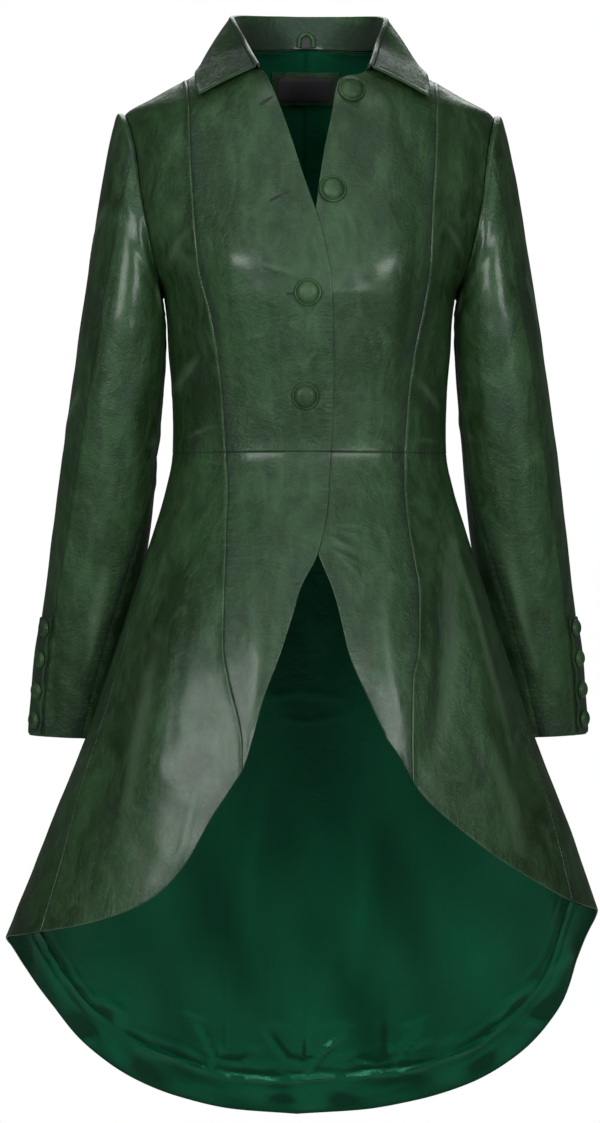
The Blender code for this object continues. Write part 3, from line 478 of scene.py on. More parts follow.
LINING_CREASES = table(
    Crease,
    (1.7, 3.2, ((-113.6, -1023.4), (-104, -1041), (-96, -1057.2), (-94.5, -1080))),
    (1.1, 2.4, ((-110.9, -1025.6), (-101, -1040), (-92.6, -1051.8))),
    (-1.0, 3.0, ((-105, -1032), (-97, -1046), (-91, -1058))),
    (-1.3, 3.4, ((-97, -1058), (-81.4, -1063), (-66, -1065), (-54, -1060))),
    (1.1, 2.6, ((-95, -1063), (-81.4, -1068.5), (-64, -1070.5), (-50, -1065))),
    (0.9, 3.2, ((-129.4, -1047.4), (-119, -1054), (-107, -1062))),
    (0.9, 3.0, ((-126, -1010), (-115, -1015), (-102, -1019))),
    (1.0, 3.0, ((-92.6, -1082), (-78, -1084.5), (-62.8, -1085.6))),
    (1.0, 3.4, ((-88, -1046), (-84, -1056), (-90, -1066))),
    (1.6, 3.0, ((-38, -1034), (-32.5, -1042), (-22, -1056), (-14.1, -1067))),
    (-1.0, 2.8, ((-28, -1038), (-18, -1052), (-8, -1063))),
    (1.7, 3.2, ((50, -1038), (34, -1052), (21, -1067), (13, -1078), (7.6, -1087))),
    (1.1, 2.4, ((44.2, -1043.7), (31, -1052), (15.8, -1060.5))),
    (-1.1, 3.0, ((40, -1052), (28, -1064), (18, -1076))),
    (-1.3, 3.2, ((-13, -1062), (4.3, -1066), (24.3, -1063.4))),
    (1.1, 2.6, ((-16, -1067), (4.3, -1071.5), (20, -1069))),
    (1.1, 3.0, ((-24, -1079), (-6, -1085), (7.6, -1087))),
    (0.9, 2.6, ((11, -1026), (8, -1040), (13, -1054))),
    (0.8, 3.0, ((22, -1074), (38, -1072), (58, -1074))),
    (1.7, 3.2, ((134, -1028), (122, -1047), (110.8, -1065.4), (109, -1084))),
    (1.1, 2.6, ((126, -1030), (116, -1045), (104, -1057))),
    (-1.1, 3.0, ((128, -1042), (117, -1060), (113, -1078))),
    (-1.3, 3.2, ((67.8, -1064), (86.2, -1067), (106, -1062))),
    (1.1, 2.6, ((64, -1068), (84, -1072), (104, -1069))),
    (1.0, 3.0, ((74, -1083), (92, -1084.5), (110, -1082))),
    (0.9, 3.2, ((146, -1040), (130, -1050), (118, -1062))),
    (0.8, 3.0, ((140, -1016), (128, -1024), (112, -1028))),
    (0.9, 3.2, ((96, -1040), (99, -1052), (104, -1062))),
    (0.5, 3.4, ((-58, -1050), (-44, -1054), (-34, -1050))),
    (0.5, 3.4, ((-54, -1074), (-38, -1076), (-26, -1072))),
    (0.5, 3.4, ((34, -1062), (50, -1064), (64, -1060))),
    (0.5, 3.0, ((-46, -1030), (-26, -1027), (-8, -1031))),
    (0.5, 3.0, ((24, -1030), (44, -1026), (62, -1030))),
    (0.6, 4.0, ((-120, -1090), (-92, -1099), (-64, -1104))),
    (0.6, 4.0, ((62, -1106), (96, -1101), (130, -1092))),
    (0.5, 3.4, ((-42, -1103), (0, -1108), (40, -1105))),
    (0.45, 3.4, ((-26, -1118), (6, -1120), (36, -1118))),
    (1.9, 4.5, ((-231, -987), (-212, -994), (-198, -1001), (-190, -1018))),
    (-1.6, 5.0, ((-222, -1000), (-208, -1008), (-199, -1020))),
    (1.5, 4.5, ((-212, -1003), (-203, -1013), (-193, -1026))),
    (-1.8, 8.0, ((-252, -1012), (-240, -1024), (-226, -1032))),
    (1.2, 6.0, ((-243, -1044), (-232, -1037), (-219, -1032))),
    (1.2, 6.0, ((-262, -958), (-250, -968), (-240, -970))),
    (1.9, 4.5, ((253, -974), (236, -984), (222, -994), (214, -1012))),
    (-1.6, 5.0, ((244, -990), (230, -1000), (220, -1014))),
    (1.5, 4.5, ((240, -986), (226, -1002), (214, -1020))),
    (-1.8, 8.0, ((272, -990), (262, -1004), (248, -1014))),
    (1.2, 6.0, ((266, -1020), (252, -1016), (240, -1020))),
    (1.2, 6.0, ((286, -936), (276, -950), (262, -956))),
    (0.8, 4.0, ((-176, -1030), (-160, -1042), (-140, -1050))),
    (0.8, 4.0, ((-186, -1046), (-164, -1056), (-138, -1066))),
    (0.8, 4.0, ((178, -1034), (164, -1042), (150, -1052))),
    (0.8, 4.0, ((200, -1036), (176, -1052), (148, -1062))),
    (0.45, 5.0, ((-50, -668), (0, -662), (46, -670))),
    (0.4, 4.0, ((-30, -690), (8, -694), (44, -688))),
    (0.5, 9.0, ((-40, -760), (-60, -860), (-52, -960))),
    (0.5, 10.0, ((60, -760), (70, -870), (60, -970))),
)
# The sleeves' creases: degrees round the sleeve from its outer end by the front, and distances down it
SLEEVE_CREASES = {
    "right": table(
        Crease,
        (1.3, 5.0, ((34, 92), (18, 120), (2, 150), (-14, 176))),
        (-1.0, 6.0, ((44, 108), (28, 138), (10, 172))),
        (1.2, 5.0, ((32, 296), (16, 316), (0, 338))),
        (-1.0, 6.0, ((36, 312), (20, 334), (4, 356))),
        (-1.3, 7.0, ((150, 22), (146, 60), (150, 104))),
        (1.2, 7.0, ((128, 40), (124, 90), (132, 140))),
        (1.0, 6.0, ((176, 330), (150, 346), (120, 352))),
        (-1.0, 6.0, ((180, 352), (150, 366), (126, 370))),
        (0.9, 6.0, ((176, 386), (154, 392), (130, 404))),
        (0.9, 8.0, ((300, 330), (280, 350), (256, 360))),
        (-0.9, 8.0, ((304, 356), (280, 374), (250, 380))),
        (0.8, 8.0, ((88, 470), (84, 540), (90, 610))),
        (-0.8, 8.0, ((100, 200), (96, 260), (84, 320))),
    ),
    "left": table(
        Crease,
        (-1.3, 6.0, ((158, 18), (152, 60), (150, 104))),
        (1.2, 6.0, ((140, 30), (136, 70), (140, 120))),
        (0.9, 3.0, ((150, 372), (140, 380), (132, 392))),
        (-0.8, 3.0, ((146, 384), (136, 394), (128, 402))),
        (1.0, 6.0, ((178, 320), (152, 334), (126, 346))),
        (0.9, 7.0, ((40, 160), (28, 196), (20, 230))),
        (-0.9, 7.0, ((52, 176), (40, 214), (30, 250))),
        (0.9, 8.0, ((298, 322), (276, 342), (252, 350))),
        (-0.9, 8.0, ((300, 348), (276, 366), (250, 372))),
        (0.8, 8.0, ((96, 450), (92, 520), (84, 600))),
        (-0.8, 8.0, ((76, 200), (84, 270), (92, 340))),
    ),
}
SLEEVE_DEGREE = 0.87
# Where the lining's three seams run down the tail, from the waist to the hem
LINING_SEAMS = (
    ((-70, -500), (-78, -800), (-80, -1062)),
    ((2, -440), (6, -800), (8, -1064)),
    ((76, -500), (90, -800), (96, -1060)),
)
HEM_FOLD, LINING_DEGREE = 41.0, 2.1
GATHER_WIDTH = 9.0
# How much a millimetre of crease lightens or darkens the cloth. On the leather that is partly rubbing and dye
# caught in the creases, and partly painted shade in the troughs and painted highlight on the ridges; on the
# satin it is only painted shade and painted highlight.
CREASE_WEAR_AND_SHADE, SATIN_PAINTED_SHADING = 0.75, 0.7

# Small details
SLEEVE_HALF_COLUMNS = 46
COLLAR_LENGTH, COLLAR_FALL = 390.0, 62.0
COLLAR_SEWN, STITCH = 5.5, 2.6
LAP_CREASE = 0.45
SCALLOP = 2.2
CUFF_BUTTON_LIFT, BUTTON_LIFT = 0.3, 0.3
COLLAR_EASING, EASED_COLUMNS = 30, 9
BUTTON_PROFILE = (
    (0, 0.02), (0.6, 0.02), (0.9, 0.0), (0.975, 0.08), (1, 0.2), (0.985, 0.34), (0.94, 0.44), (0.895, 0.46),
    (0.865, 0.44), (0.84, 0.49), (0.8, 0.6), (0.72, 0.74), (0.6, 0.86), (0.45, 0.94), (0.25, 0.985), (0, 1),
)
BUTTONHOLES = (((43.5, -49.5), (55, -57)), ((27, -147), (47, -157.5)), ((19.5, -251), (30, -251.5)))
HOLE_WIDTH, THREAD_RADIUS, HOLE_STEPS, EYE_SWELL = 0.9, 0.55, 48, 0.9

# The flat cut of each piece of cloth, in metres and square metres: what shows of it, without allowances
Cut = namedtuple("Cut", "width length area")

# Finishes, as linear colours
LEATHER_GREENS = ((0.007, 0.018, 0.004), (0.019, 0.047, 0.016), (0.034, 0.068, 0.03))
# Darker tone for burnished seams and edges, which also paints shade in crease troughs and inside the collar's
# stand; lighter tone for worn edges, which also paints highlight on edges and ridges
BURNISHED_AND_SHADED = (0.012, 0.019, 0.014)
RUBBED_AND_HIGHLIGHT = (0.08, 0.12, 0.08)
SHEEN = (0.68, 1.0, 0.8)
SATIN_GREENS = ((0.0015, 0.041, 0.018), (0.004, 0.062, 0.029))
# Painted shade for the troughs of the satin's folds and painted highlight for their ridges
SATIN_PAINTED_FOLDS = ((0.001, 0.012, 0.006), (0.004, 0.085, 0.04))
SATIN_SHEEN = (0.2, 1.0, 0.55)
FLOOR_COLOURS = (0.86, 0.86, 0.86, 1.0), (0.9, 0.9, 0.9, 1.0)

# The room. A lamp has a name, a place, what it is aimed at, a size, a power and a spread
FLOOR_Z, FLOOR_RADIUS = -2.0, 4.4
ROOM_LIGHT, BACKDROP_LIGHT, FLOOR_GLOW = 0.1, 1.0, 0.12
LAMPS = (
    ("key", (-1.6, -3.0, 0.0), (0, 0, -0.22), (1.5, 0.7), 7.5, 60),
    ("fill", (1.2, -3.1, -0.15), (0, 0, -0.3), (1.1, 0.7), 5.5, 60),
    ("front", (0.2, -3.4, 1.2), (0, 0, -0.6), (2.4, 1.6), 7, 180),
    ("top", (0, -1.9, 2.2), (0, 0, -0.45), (1.6, 1.2), 25, 180),
    ("back", (0.3, 2.6, 1.9), (0, 0, -0.6), (2.0, 1.6), 46, 180),
)
CAMERA_DISTANCE, CAMERA_TURN, LENS = 4.0, -3.3, 123.3
CAMERA_AIM = (-0.0099, 0.0006, -0.5216)

FRONT_CREASES = {"right": RIGHT_FRONT_CREASES, "left": LEFT_FRONT_CREASES}
SKIRT_CREASES = {"right": RIGHT_SKIRT_CREASES, "left": LEFT_SKIRT_CREASES}


def track(rows, along, value):
    """A smooth function through one column of a table, by another column, that never overshoots its rows."""
    table = np.array(sorted((getattr(row, along), getattr(row, value)) for row in rows), float)
    keys, values = table.T
    slopes = np.diff(values) / np.diff(keys)
    before, after = slopes[:-1], slopes[1:]
    same_way = before * after > 0
    middle = np.where(same_way, 2 * before * after / np.where(same_way, before + after, 1), 0)
    tangents = np.concatenate([slopes[:1], middle, slopes[-1:]])

    def at(key):
        key = np.clip(np.asarray(key, float), keys[0], keys[-1])
        i = np.clip(np.searchsorted(keys, key, side="right") - 1, 0, len(slopes) - 1)
        step = keys[i + 1] - keys[i]
        t = (key - keys[i]) / step
        ends = values[i] * (1 + 2 * t) * (1 - t) ** 2 + values[i + 1] * (3 - 2 * t) * t**2
        return ends + step * t * (1 - t) * (tangents[i] * (1 - t) - tangents[i + 1] * t)

    return at


def ramp(value, low, high):
    """0 below low and 1 above high, and smooth between."""
    t = np.clip((value - low) / (high - low), 0, 1)
    return t * t * (3 - 2 * t)


half_width = track(SECTIONS, "z", "half_width")
front_depth = track(SECTIONS, "z", "front_depth")
back_depth = track(SECTIONS, "z", "back_depth")
centre_y = track(SECTIONS, "z", "centre_y")
lean = track(LEAN, "z", "x")
neck_z = track(NECKLINE, "angle", "z")
armhole_x = track(ARMHOLE, "z", "x")
side_seam_angle = track(SIDE_SEAM, "z", "angle")
front_edge = {side: track(FRONT_EDGE, "z", side) for side in SIDES}
front_princess = {side: track(FRONT_PRINCESS, "z", side) for side in SIDES}
back_princess = {side: track(BACK_PRINCESS, "z", side) for side in SIDES}
hem_z = {side: track(HEM, "angle", side) for side in SIDES}
ring = {name: track(RINGS, "down", name) for name in Ring._fields[1:]}
sleeve_seam = {name: track(SLEEVE_SEAMS, "down", name) for name in SleeveSeam._fields[1:]}
collar = {name: track(COLLAR, "angle", name) for name in Collar._fields[1:]}


def front_angle(out, z):
    """The angle round the form of a point on the front, this far out from the centre line."""
    return np.degrees(np.arcsin(np.clip(out / half_width(z), -1, 1)))


def base_point(angle, z):
    """A point on the plain form, on the left side."""
    turn = np.radians(angle)
    depth = np.where(np.cos(turn) > 0, front_depth(z), back_depth(z))
    x = half_width(z) * np.sin(turn)
    y = centre_y(z) - depth * np.cos(turn)
    return np.stack(np.broadcast_arrays(x, y, z), axis=-1)


def base_normal(angle, z, step=0.5):
    along = base_point(angle + step, z) - base_point(angle - step, z)
    up = base_point(angle, z + step) - base_point(angle, z - step)
    return unit(np.cross(along, up))


def unit(vectors):
    return vectors / np.linalg.norm(vectors, axis=-1, keepdims=True)


def fold_relief(angle, z, side):
    """How far the folds raise the form's surface."""
    rise = np.zeros(np.broadcast(angle, z).shape)
    for fold in FOLDS:
        if fold.side != side:
            continue
        down = (fold.top_z - z) / (fold.top_z - fold.low_z)
        line = fold.top_angle + (fold.low_angle - fold.top_angle) * down
        across = np.radians(angle - line) * half_width(z)
        length = ramp(-z, -fold.top_z, -fold.top_z + FOLD_FADE) * ramp(z, fold.low_z, fold.low_z + FOLD_FADE)
        rise = rise + fold.height * length * np.exp(-((across / fold.width) ** 2))
    return rise


def relief(angle, z, side):
    """How far the garment stands off the plain form: bust, folds, and the left front under the right."""
    out = half_width(z) * np.sin(np.radians(angle))
    in_front = ramp(np.cos(np.radians(angle)), 0.05, 0.35)
    cup = np.exp(-(((np.abs(out) - CUP_X) / CUP_WIDTH) ** 2) - ((z - CUP_Z) / CUP_HEIGHT) ** 2)
    rise = CUP_RISE * cup * in_front + fold_relief(angle, z, side)
    if side == "left":
        rise = rise - LAP * (1 - ramp(out, LAP_FULL, LAP_NONE)) * in_front
    return rise


def form_face(spots, side, depth=0.0):
    """Points on the garment's outer surface, or this far inside it, for angles and heights."""
    angle, z = spots[..., 0], spots[..., 1]
    reach = relief(angle, z, side) - depth
    points = base_point(angle, z) + base_normal(angle, z) * reach[..., None]
    points = points * np.array([SIDES[side], 1, 1])
    points[..., 0] += lean(z)
    return points


def spread(points, count):
    """Where, along a line of points, count + 1 even steps fall, as places in the list of points."""
    lengths = np.linalg.norm(np.diff(points, axis=0), axis=-1)
    travelled = np.concatenate([[0], np.cumsum(lengths)])
    return np.interp(np.linspace(0, travelled[-1], count + 1), travelled, np.arange(len(points)))


def pick(spots, places):
    """Spots read from a list at places that may lie between two of them."""
    return np.stack([np.interp(places, np.arange(len(spots)), column) for column in spots.T], axis=-1)


def line_on_form(angles, heights, count, side):
    """A line on the form, as count + 1 even spots: an angle and a height for each."""
    spots = np.stack([angles, heights], axis=-1)
    spots = pick(spots, np.linspace(0, len(spots) - 1, LINE_SAMPLES))
    return pick(spots, spread(form_face(spots, side), count))


def seam_line(angle_at, top, low, count, side):
    """A line whose angle is a function of the height. Its spots gather where the shoulder turns away."""
    z = top + (low - top) * np.linspace(0, 1, LINE_SAMPLES) ** 2
    return line_on_form(angle_at(z), z, count, side)


def hem_line(inner_angle, outer_angle, count, side):
    angle = np.linspace(inner_angle, outer_angle, LINE_SAMPLES)
    return line_on_form(angle, hem_z[side](angle), count, side)


def waist_line(inner_angle, outer_angle, count, side):
    return line_on_form([inner_angle, outer_angle], [WAIST_Z, WAIST_Z], count, side)


def at_centre_back(z):
    return np.full_like(z, CENTRE_BACK)


def end_to_end(first, second):
    return np.concatenate([first, second[1:]])


def to_distance(spots):
    """Spots as distances out from the centre line instead of angles."""
    out = half_width(spots[..., 1]) * np.sin(np.radians(spots[..., 0]))
    return np.stack([out, spots[..., 1]], axis=-1)


def to_angle(spots, back):
    angle = front_angle(spots[..., 0], spots[..., 1])
    return np.stack([CENTRE_BACK - angle if back else angle, spots[..., 1]], axis=-1)


def panel_grid(inner, outer, top, low, side, flat=None):
    """A panel's spots between four lines of spots: from the inner to the outer line, and from the top down.

    flat is front or back for a panel that is laid out by distance from the centre line. Each column of
    spots is then spread evenly over the form.
    """
    columns, rows = len(top) - 1, len(inner) - 1
    lines = inner, outer, top, low
    if flat:
        lines = [to_distance(line) for line in lines]
    fine = ROW_SAMPLES * rows
    places = np.linspace(0, rows, fine + 1)
    first, last = (pick(line, places) for line in lines[:2])
    u = np.linspace(0, 1, columns + 1)[:, None, None]
    v = np.linspace(0, 1, fine + 1)[None, :, None]
    across = (1 - u) * first[None] + u * last[None]
    down = (1 - v) * lines[2][:, None] + v * lines[3][:, None]
    ends = (1 - v) * across[:, :1] + v * across[:, -1:]
    spots = across + down - ends
    if flat:
        spots = to_angle(spots, flat == "back")
    points = form_face(spots, side)
    grid = np.stack([pick(spots[i], spread(points[i], rows)) for i in range(columns + 1)])
    grid[0], grid[-1] = inner, outer
    grid[:, 0], grid[:, -1] = top, low
    return grid


def pull_in(points, distance, first=True, last=True, axis=0):
    """Moves the end lines of a grid of points towards the lines beside them."""
    lines = np.moveaxis(points, axis, 0)
    if first:
        lines[0] += unit(lines[1] - lines[0]) * distance
    if last:
        lines[-1] += unit(lines[-2] - lines[-1]) * distance


def armhole_line(count, side, back):
    """The armhole from the shoulder tip down to the underarm, by the front or by the back."""
    share = np.sin(np.linspace(0, np.pi / 2, LINE_SAMPLES)) ** 2
    z = SHOULDER_Z + (UNDERARM_Z - SHOULDER_Z) * share
    angle = front_angle(armhole_x(z), z)
    return line_on_form(CENTRE_BACK - angle if back else angle, z, count, side)


def gathered(count, length):
    """Places along an edge of count even steps, this long, with more steps by its two ends."""
    near = np.array(EDGE_STEPS) / length * count
    even = np.arange(count + 1, dtype=float)
    keep = (even > near[-1] + 0.4) & (even < count - near[-1] - 0.4)
    return np.concatenate([[0], near, even[keep], count - near[::-1], [count]])


def mean_length(points, axis):
    steps = np.linalg.norm(np.diff(points, axis=axis), axis=-1)
    return float(steps.sum(axis=axis).mean())


def refined(grid, side):
    """A panel's grid of spots with more lines by its four edges."""
    points = form_face(grid, side)
    columns = gathered(grid.shape[0] - 1, mean_length(points, 0))
    rows = gathered(grid.shape[1] - 1, mean_length(points, 1))
    grid = np.stack([pick(line, rows) for line in grid])
    return np.stack([pick(grid[:, j], columns) for j in range(grid.shape[1])], axis=1)


def edge_distances(points):
    """How far each point of a grid lies from its first, last, top and low edges."""
    across = np.linalg.norm(np.diff(points, axis=0), axis=-1)
    down = np.linalg.norm(np.diff(points, axis=1), axis=-1)
    first = np.concatenate([np.zeros((1, points.shape[1])), np.cumsum(across, axis=0)])
    top = np.concatenate([np.zeros((points.shape[0], 1)), np.cumsum(down, axis=1)], axis=1)
    return Edges(first, first[-1:] - first, top, top[:, -1:] - top)


def rounding(distance, width):
    """How far a rolled edge has sunk, from 1 at the edge to 0 at this width."""
    t = 1 - np.clip(distance / width, 0, 1)
    return 1 - np.sqrt(1 - t * t)


def ripple(along):
    """The uneven puckers that a line of sewing draws up."""
    short = np.sin(along / 1.17) * 0.3 + np.sin(along / 1.9 + 1.3) * 0.4
    return short * (0.6 + 0.4 * np.sin(along / 17.0)) + 0.3 * np.sin(along / 4.3 + 0.6)


def uneven(along):
    """How strongly an edge's marks show along it, from 0.1 to 1: the burnishing and the painted highlight."""
    return 0.55 + 0.27 * np.sin(along / 23.0 + 0.8) + 0.18 * np.sin(along / 7.9)


def bell(distance, width):
    return np.exp(-((distance / width) ** 2))


def edge_relief(distances, edges):
    """How the edges raise the outer surface and press the inner one, and how they mark the leather: burnished
    bands and dark seam lines, and a light line on rolled edges and seam ridges that is painted highlight, on
    rolled edges partly also rubbing.
    """
    beside = Edges(distances.top, distances.top, distances.first, distances.first)
    outer, inner, shade = (np.zeros(distances.first.shape) for _ in range(3))
    for distance, along, kind in zip(distances, beside, edges):
        if kind == FREE:
            outer -= 0.92 * rounding(distance, EDGE_ROLL)
            inner -= 0.92 * rounding(distance, EDGE_ROLL)
            outer += 0.1 * ripple(along) * bell(distance, 6)
            # A light line on the rolled edge, painted highlight and partly rubbing, and a burnished band
            # inside it
            shade += 0.8 * bell(distance, 1.5) - 0.5 * (1 - ramp(distance, 9, 21)) * uneven(along)
        elif kind == OVER:
            outer += 0.6 * bell(distance - 2.6, 2.4) - 0.9 * rounding(distance, SEAM_ROLL)
            outer += 0.12 * ripple(along) * bell(distance - 2, 6)
            # A painted highlight on the ridge of the lapped edge, and a dark line at the join
            shade += 0.5 * bell(distance - 1.8, 1.2) * uneven(along) - 0.9 * bell(distance, 0.8)
        elif kind == UNDER:
            outer -= 0.35 * bell(distance, 4) + 0.25 * rounding(distance, SEAM_ROLL)
            outer += 0.1 * ripple(along) * bell(distance - 2, 6)
            shade -= 0.8 * (1 - ramp(distance, 6, 15)) * (0.6 + 0.5 * uneven(along))
        elif kind == SEWN:
            outer -= 0.6 * rounding(distance, SEAM_ROLL)
            outer += 0.1 * ripple(along) * bell(distance - 2, 6)
            shade -= 0.45 * bell(distance, 5)
    return outer, inner, shade


def crease_relief(creases, across, along):
    """How far a table of creases raises the points with these two coordinates."""
    spots = np.stack([across, along], axis=-1)
    rise = np.zeros(across.shape)
    for crease in creases:
        line = np.array(crease.points, float)
        lengths = np.linalg.norm(np.diff(line, axis=0), axis=-1)
        travelled = np.concatenate([[0], np.cumsum(lengths)]) / lengths.sum()
        best, share = np.full(across.shape, 1e9), np.zeros(across.shape)
        for k, start in enumerate(line[:-1]):
            step = line[k + 1] - start
            t = np.clip(((spots - start) @ step) / (step @ step), 0, 1)
            distance = np.linalg.norm(spots - start - t[..., None] * step, axis=-1)
            nearer = distance < best
            best = np.where(nearer, distance, best)
            share = np.where(nearer, travelled[k] + t * (travelled[k + 1] - travelled[k]), share)
        rise += crease.height * np.sin(math.pi * (0.06 + 0.88 * share)) ** 0.8 * bell(best, crease.width)
    return rise


def slackness(x, z):
    """The faint unevenness of leather that nothing stretches."""
    rise = 0.22 * np.sin(x / 9.1 + z / 31.0 + 0.4) * np.sin(z / 17.3 - x / 40.0)
    rise += 0.2 * np.sin(x / 14.7 - z / 12.1 + 1.9) * np.cos(z / 37.0)
    return rise + 0.12 * np.sin(x / 5.3 + z / 8.9) * np.sin(z / 23.0 + 2.2)


def gathers(distances):
    """How sewing gathers the leather: above 0 by a seam that runs across, below 0 by one that runs down."""
    across = np.minimum(distances.top, distances.low)
    down = np.minimum(distances.first, distances.last)
    return bell(across, GATHER_WIDTH) - bell(down, GATHER_WIDTH)


def shell(name, outer, inner, shade, finishes, facing=None, gather=None):
    """A thin shell between two grids of points: a grid of faces is made solid, and its points are placed.

    finishes are the materials of the outer and of the inner face. facing marks the points where the outer
    one is turned to the inside.
    """
    columns, rows = outer.shape[0] - 1, outer.shape[1] - 1
    bm = bmesh.new()
    bmesh.ops.create_grid(bm, x_segments=columns, y_segments=rows, size=0.5)
    bmesh.ops.solidify(bm, geom=bm.faces[:], thickness=1.0)
    bmesh.ops.recalc_face_normals(bm, faces=bm.faces[:])
    mesh = bpy.data.meshes.new(name)
    bm.to_mesh(mesh)
    bm.free()
    flat = np.empty(len(mesh.vertices) * 3)
    mesh.vertices.foreach_get("co", flat)
    flat = flat.reshape(-1, 3)
    i = np.rint((flat[:, 0] + 0.5) * columns).astype(int)
    j = np.rint((flat[:, 1] + 0.5) * rows).astype(int)
    inside = np.abs(flat[:, 2]) > 0.5
    placed = np.where(inside[:, None], inner[i, j], outer[i, j]) * MM
    mesh.vertices.foreach_set("co", placed.ravel())
    for kind, marks in (("shade", shade), ("gather", gather)):
        if marks is not None:
            mesh.attributes.new(kind, "FLOAT", "POINT").data.foreach_set("value", marks[i, j])
    turned = inside if facing is None else inside & ~facing[i, j]
    for finish in finishes:
        mesh.materials.append(finish)
    corners = np.empty(len(mesh.loops), int)
    mesh.loops.foreach_get("vertex_index", corners)
    starts = np.empty(len(mesh.polygons), int)
    mesh.polygons.foreach_get("loop_start", starts)
    inner_faces = np.minimum.reduceat(turned[corners].astype(int), starts)
    mesh.polygons.foreach_set("material_index", inner_faces * (len(finishes) - 1))
    return finished(name, mesh)


def finished(name, mesh):
    """An object for a closed mesh, whose faces are turned outwards."""
    mesh.update()
    mesh.calc_loop_triangles()
    triangles = np.empty(len(mesh.loop_triangles) * 3, int)
    mesh.loop_triangles.foreach_get("vertices", triangles)
    places = np.empty(len(mesh.vertices) * 3)
    mesh.vertices.foreach_get("co", places)
    a, b, c = np.moveaxis(places.reshape(-1, 3)[triangles.reshape(-1, 3)], 1, 0)
    if np.einsum("ij,ij->i", a, np.cross(b, c)).sum() < 0:
        mesh.flip_normals()
    mesh.shade_smooth()
    mesh.set_sharp_from_angle(angle=math.radians(SMOOTH_ANGLE))
    piece = bpy.data.objects.new("sewn_" + name, mesh)
    bpy.context.scene.collection.objects.link(piece)
    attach(piece, ROOT)
    return piece


def cloth(piece, slot, cut, *nodes, held="hung"):
    """Hides the imported parts that a piece of cloth stands for."""
    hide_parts(*nodes)


def panel(name, cut, grid, side, edges, creases):
    """A leather panel with its seams, edges and creases, lined with satin and faced along its free edges."""
    grid = refined(grid, side)
    plain = form_face(grid, side)
    distances = edge_distances(plain)
    rolled, pressed, shade = edge_relief(distances, edges)
    x, z = plain[..., 0], plain[..., 2]
    soft = 1 - np.exp(-np.minimum.reduce(distances) / 12)
    folded = crease_relief(creases, x, z)
    # Painted shade in the crease troughs and painted highlight on their ridges, partly also rubbing and dye
    # caught in the creases
    shade += CREASE_WEAR_AND_SHADE * folded
    body = folded + slackness(x, z) * soft
    if name.startswith(("front_", "skirt_front_")):
        highest = None if side == "right" else LAP_CREASE
        body = np.where(np.abs(x) < LAP_FULL, np.clip(body, -LAP_CREASE, highest), body)
    outer = form_face(grid, side, -body - rolled)
    inner = form_face(grid, side, LEATHER - body + pressed)
    turned_in = np.zeros(grid.shape[:2], bool)
    for distance, kind in zip(distances, edges):
        if kind == FREE:
            turned_in |= distance < FACING
    piece = shell(name, outer, inner, shade, LINED, turned_in, gathers(distances))
    cloth(piece, "leather", cut, name)


def bodice(side):
    """The four panels of one side of the body. Returns the spots of the back panel, for the lining."""
    rows = ARMHOLE_ROWS + SIDE_ROWS
    ridge = [90.0, 90.0]
    side_angle = float(side_seam_angle(WAIST_Z))
    princess_angle = float(front_angle(front_princess[side](WAIST_Z), WAIST_Z))
    back_angle = float(CENTRE_BACK - front_angle(back_princess[side](WAIST_Z), WAIST_Z))
    edge_angle = float(front_angle(front_edge[side](WAIST_Z), WAIST_Z))
    neck_angle = NECK_CORNER_ANGLE[side]
    creases = FRONT_CREASES[side]
    side_seam = seam_line(side_seam_angle, UNDERARM_Z, WAIST_Z, SIDE_ROWS, side)
    shoulder = line_on_form(ridge, [NECK_Z, PRINCESS_TOP_Z], RIDGE_COLUMNS, side)
    shoulder_end = line_on_form(ridge, [PRINCESS_TOP_Z, SHOULDER_Z], SIDE_COLUMNS, side)

    corner_z = float(neck_z(neck_angle))
    edge = seam_line(lambda z: front_angle(front_edge[side](z), z), corner_z, WAIST_Z, rows, side)
    edge[0] = neck_angle, corner_z
    princess = seam_line(lambda z: front_angle(front_princess[side](z), z),
                         PRINCESS_TOP_Z, WAIST_Z, rows, side)
    princess[0, 0] = 90.0
    angles = np.linspace(neck_angle, 90, LINE_SAMPLES)
    neck = line_on_form(angles, neck_z(angles), NECK_COLUMNS, side)
    low = waist_line(edge_angle, princess_angle, NECK_COLUMNS + RIDGE_COLUMNS, side)
    grid = panel_grid(edge, princess, end_to_end(neck, shoulder), low, side, "front")
    panel("front_" + side, "front", grid, side, Edges(FREE, UNDER, SEWN, SEWN), creases)

    outer = end_to_end(armhole_line(ARMHOLE_ROWS, side, False), side_seam)
    low = waist_line(princess_angle, side_angle, SIDE_COLUMNS, side)
    grid = panel_grid(princess, outer, shoulder_end, low, side)
    panel("side_front_" + side, "side_front", grid, side, Edges(OVER, SEWN, SEWN, SEWN), creases)

    princess = seam_line(lambda z: CENTRE_BACK - front_angle(back_princess[side](z), z),
                         PRINCESS_TOP_Z, WAIST_Z, rows, side)
    princess[0, 0] = 90.0
    outer = end_to_end(armhole_line(ARMHOLE_ROWS, side, True), side_seam)
    low = waist_line(back_angle, side_angle, SIDE_COLUMNS, side)
    grid = panel_grid(princess, outer, shoulder_end, low, side)
    panel("side_back_" + side, "side_back", grid, side, Edges(OVER, SEWN, SEWN, SEWN), BACK_CREASES)

    angles = np.linspace(CENTRE_BACK, 90, LINE_SAMPLES)
    neck = line_on_form(angles, neck_z(angles), NECK_COLUMNS, side)
    centre = seam_line(at_centre_back, float(neck_z(CENTRE_BACK)), WAIST_Z, rows, side)
    low = waist_line(CENTRE_BACK, back_angle, NECK_COLUMNS + RIDGE_COLUMNS, side)
    grid = panel_grid(centre, princess, end_to_end(neck, shoulder), low, side, "back")
    panel("back_" + side, "back", grid, side, Edges(SEWN, UNDER, SEWN, SEWN), BACK_CREASES)
    return grid


def hem_crossing(angle_at, side):
    """The height at which a seam, whose angle is a function of the height, meets the hem."""
    z = np.linspace(-1140, -640, 5001)
    miss = np.abs(hem_z[side](angle_at(z)) - z)
    return float(z[np.argmin(miss)])


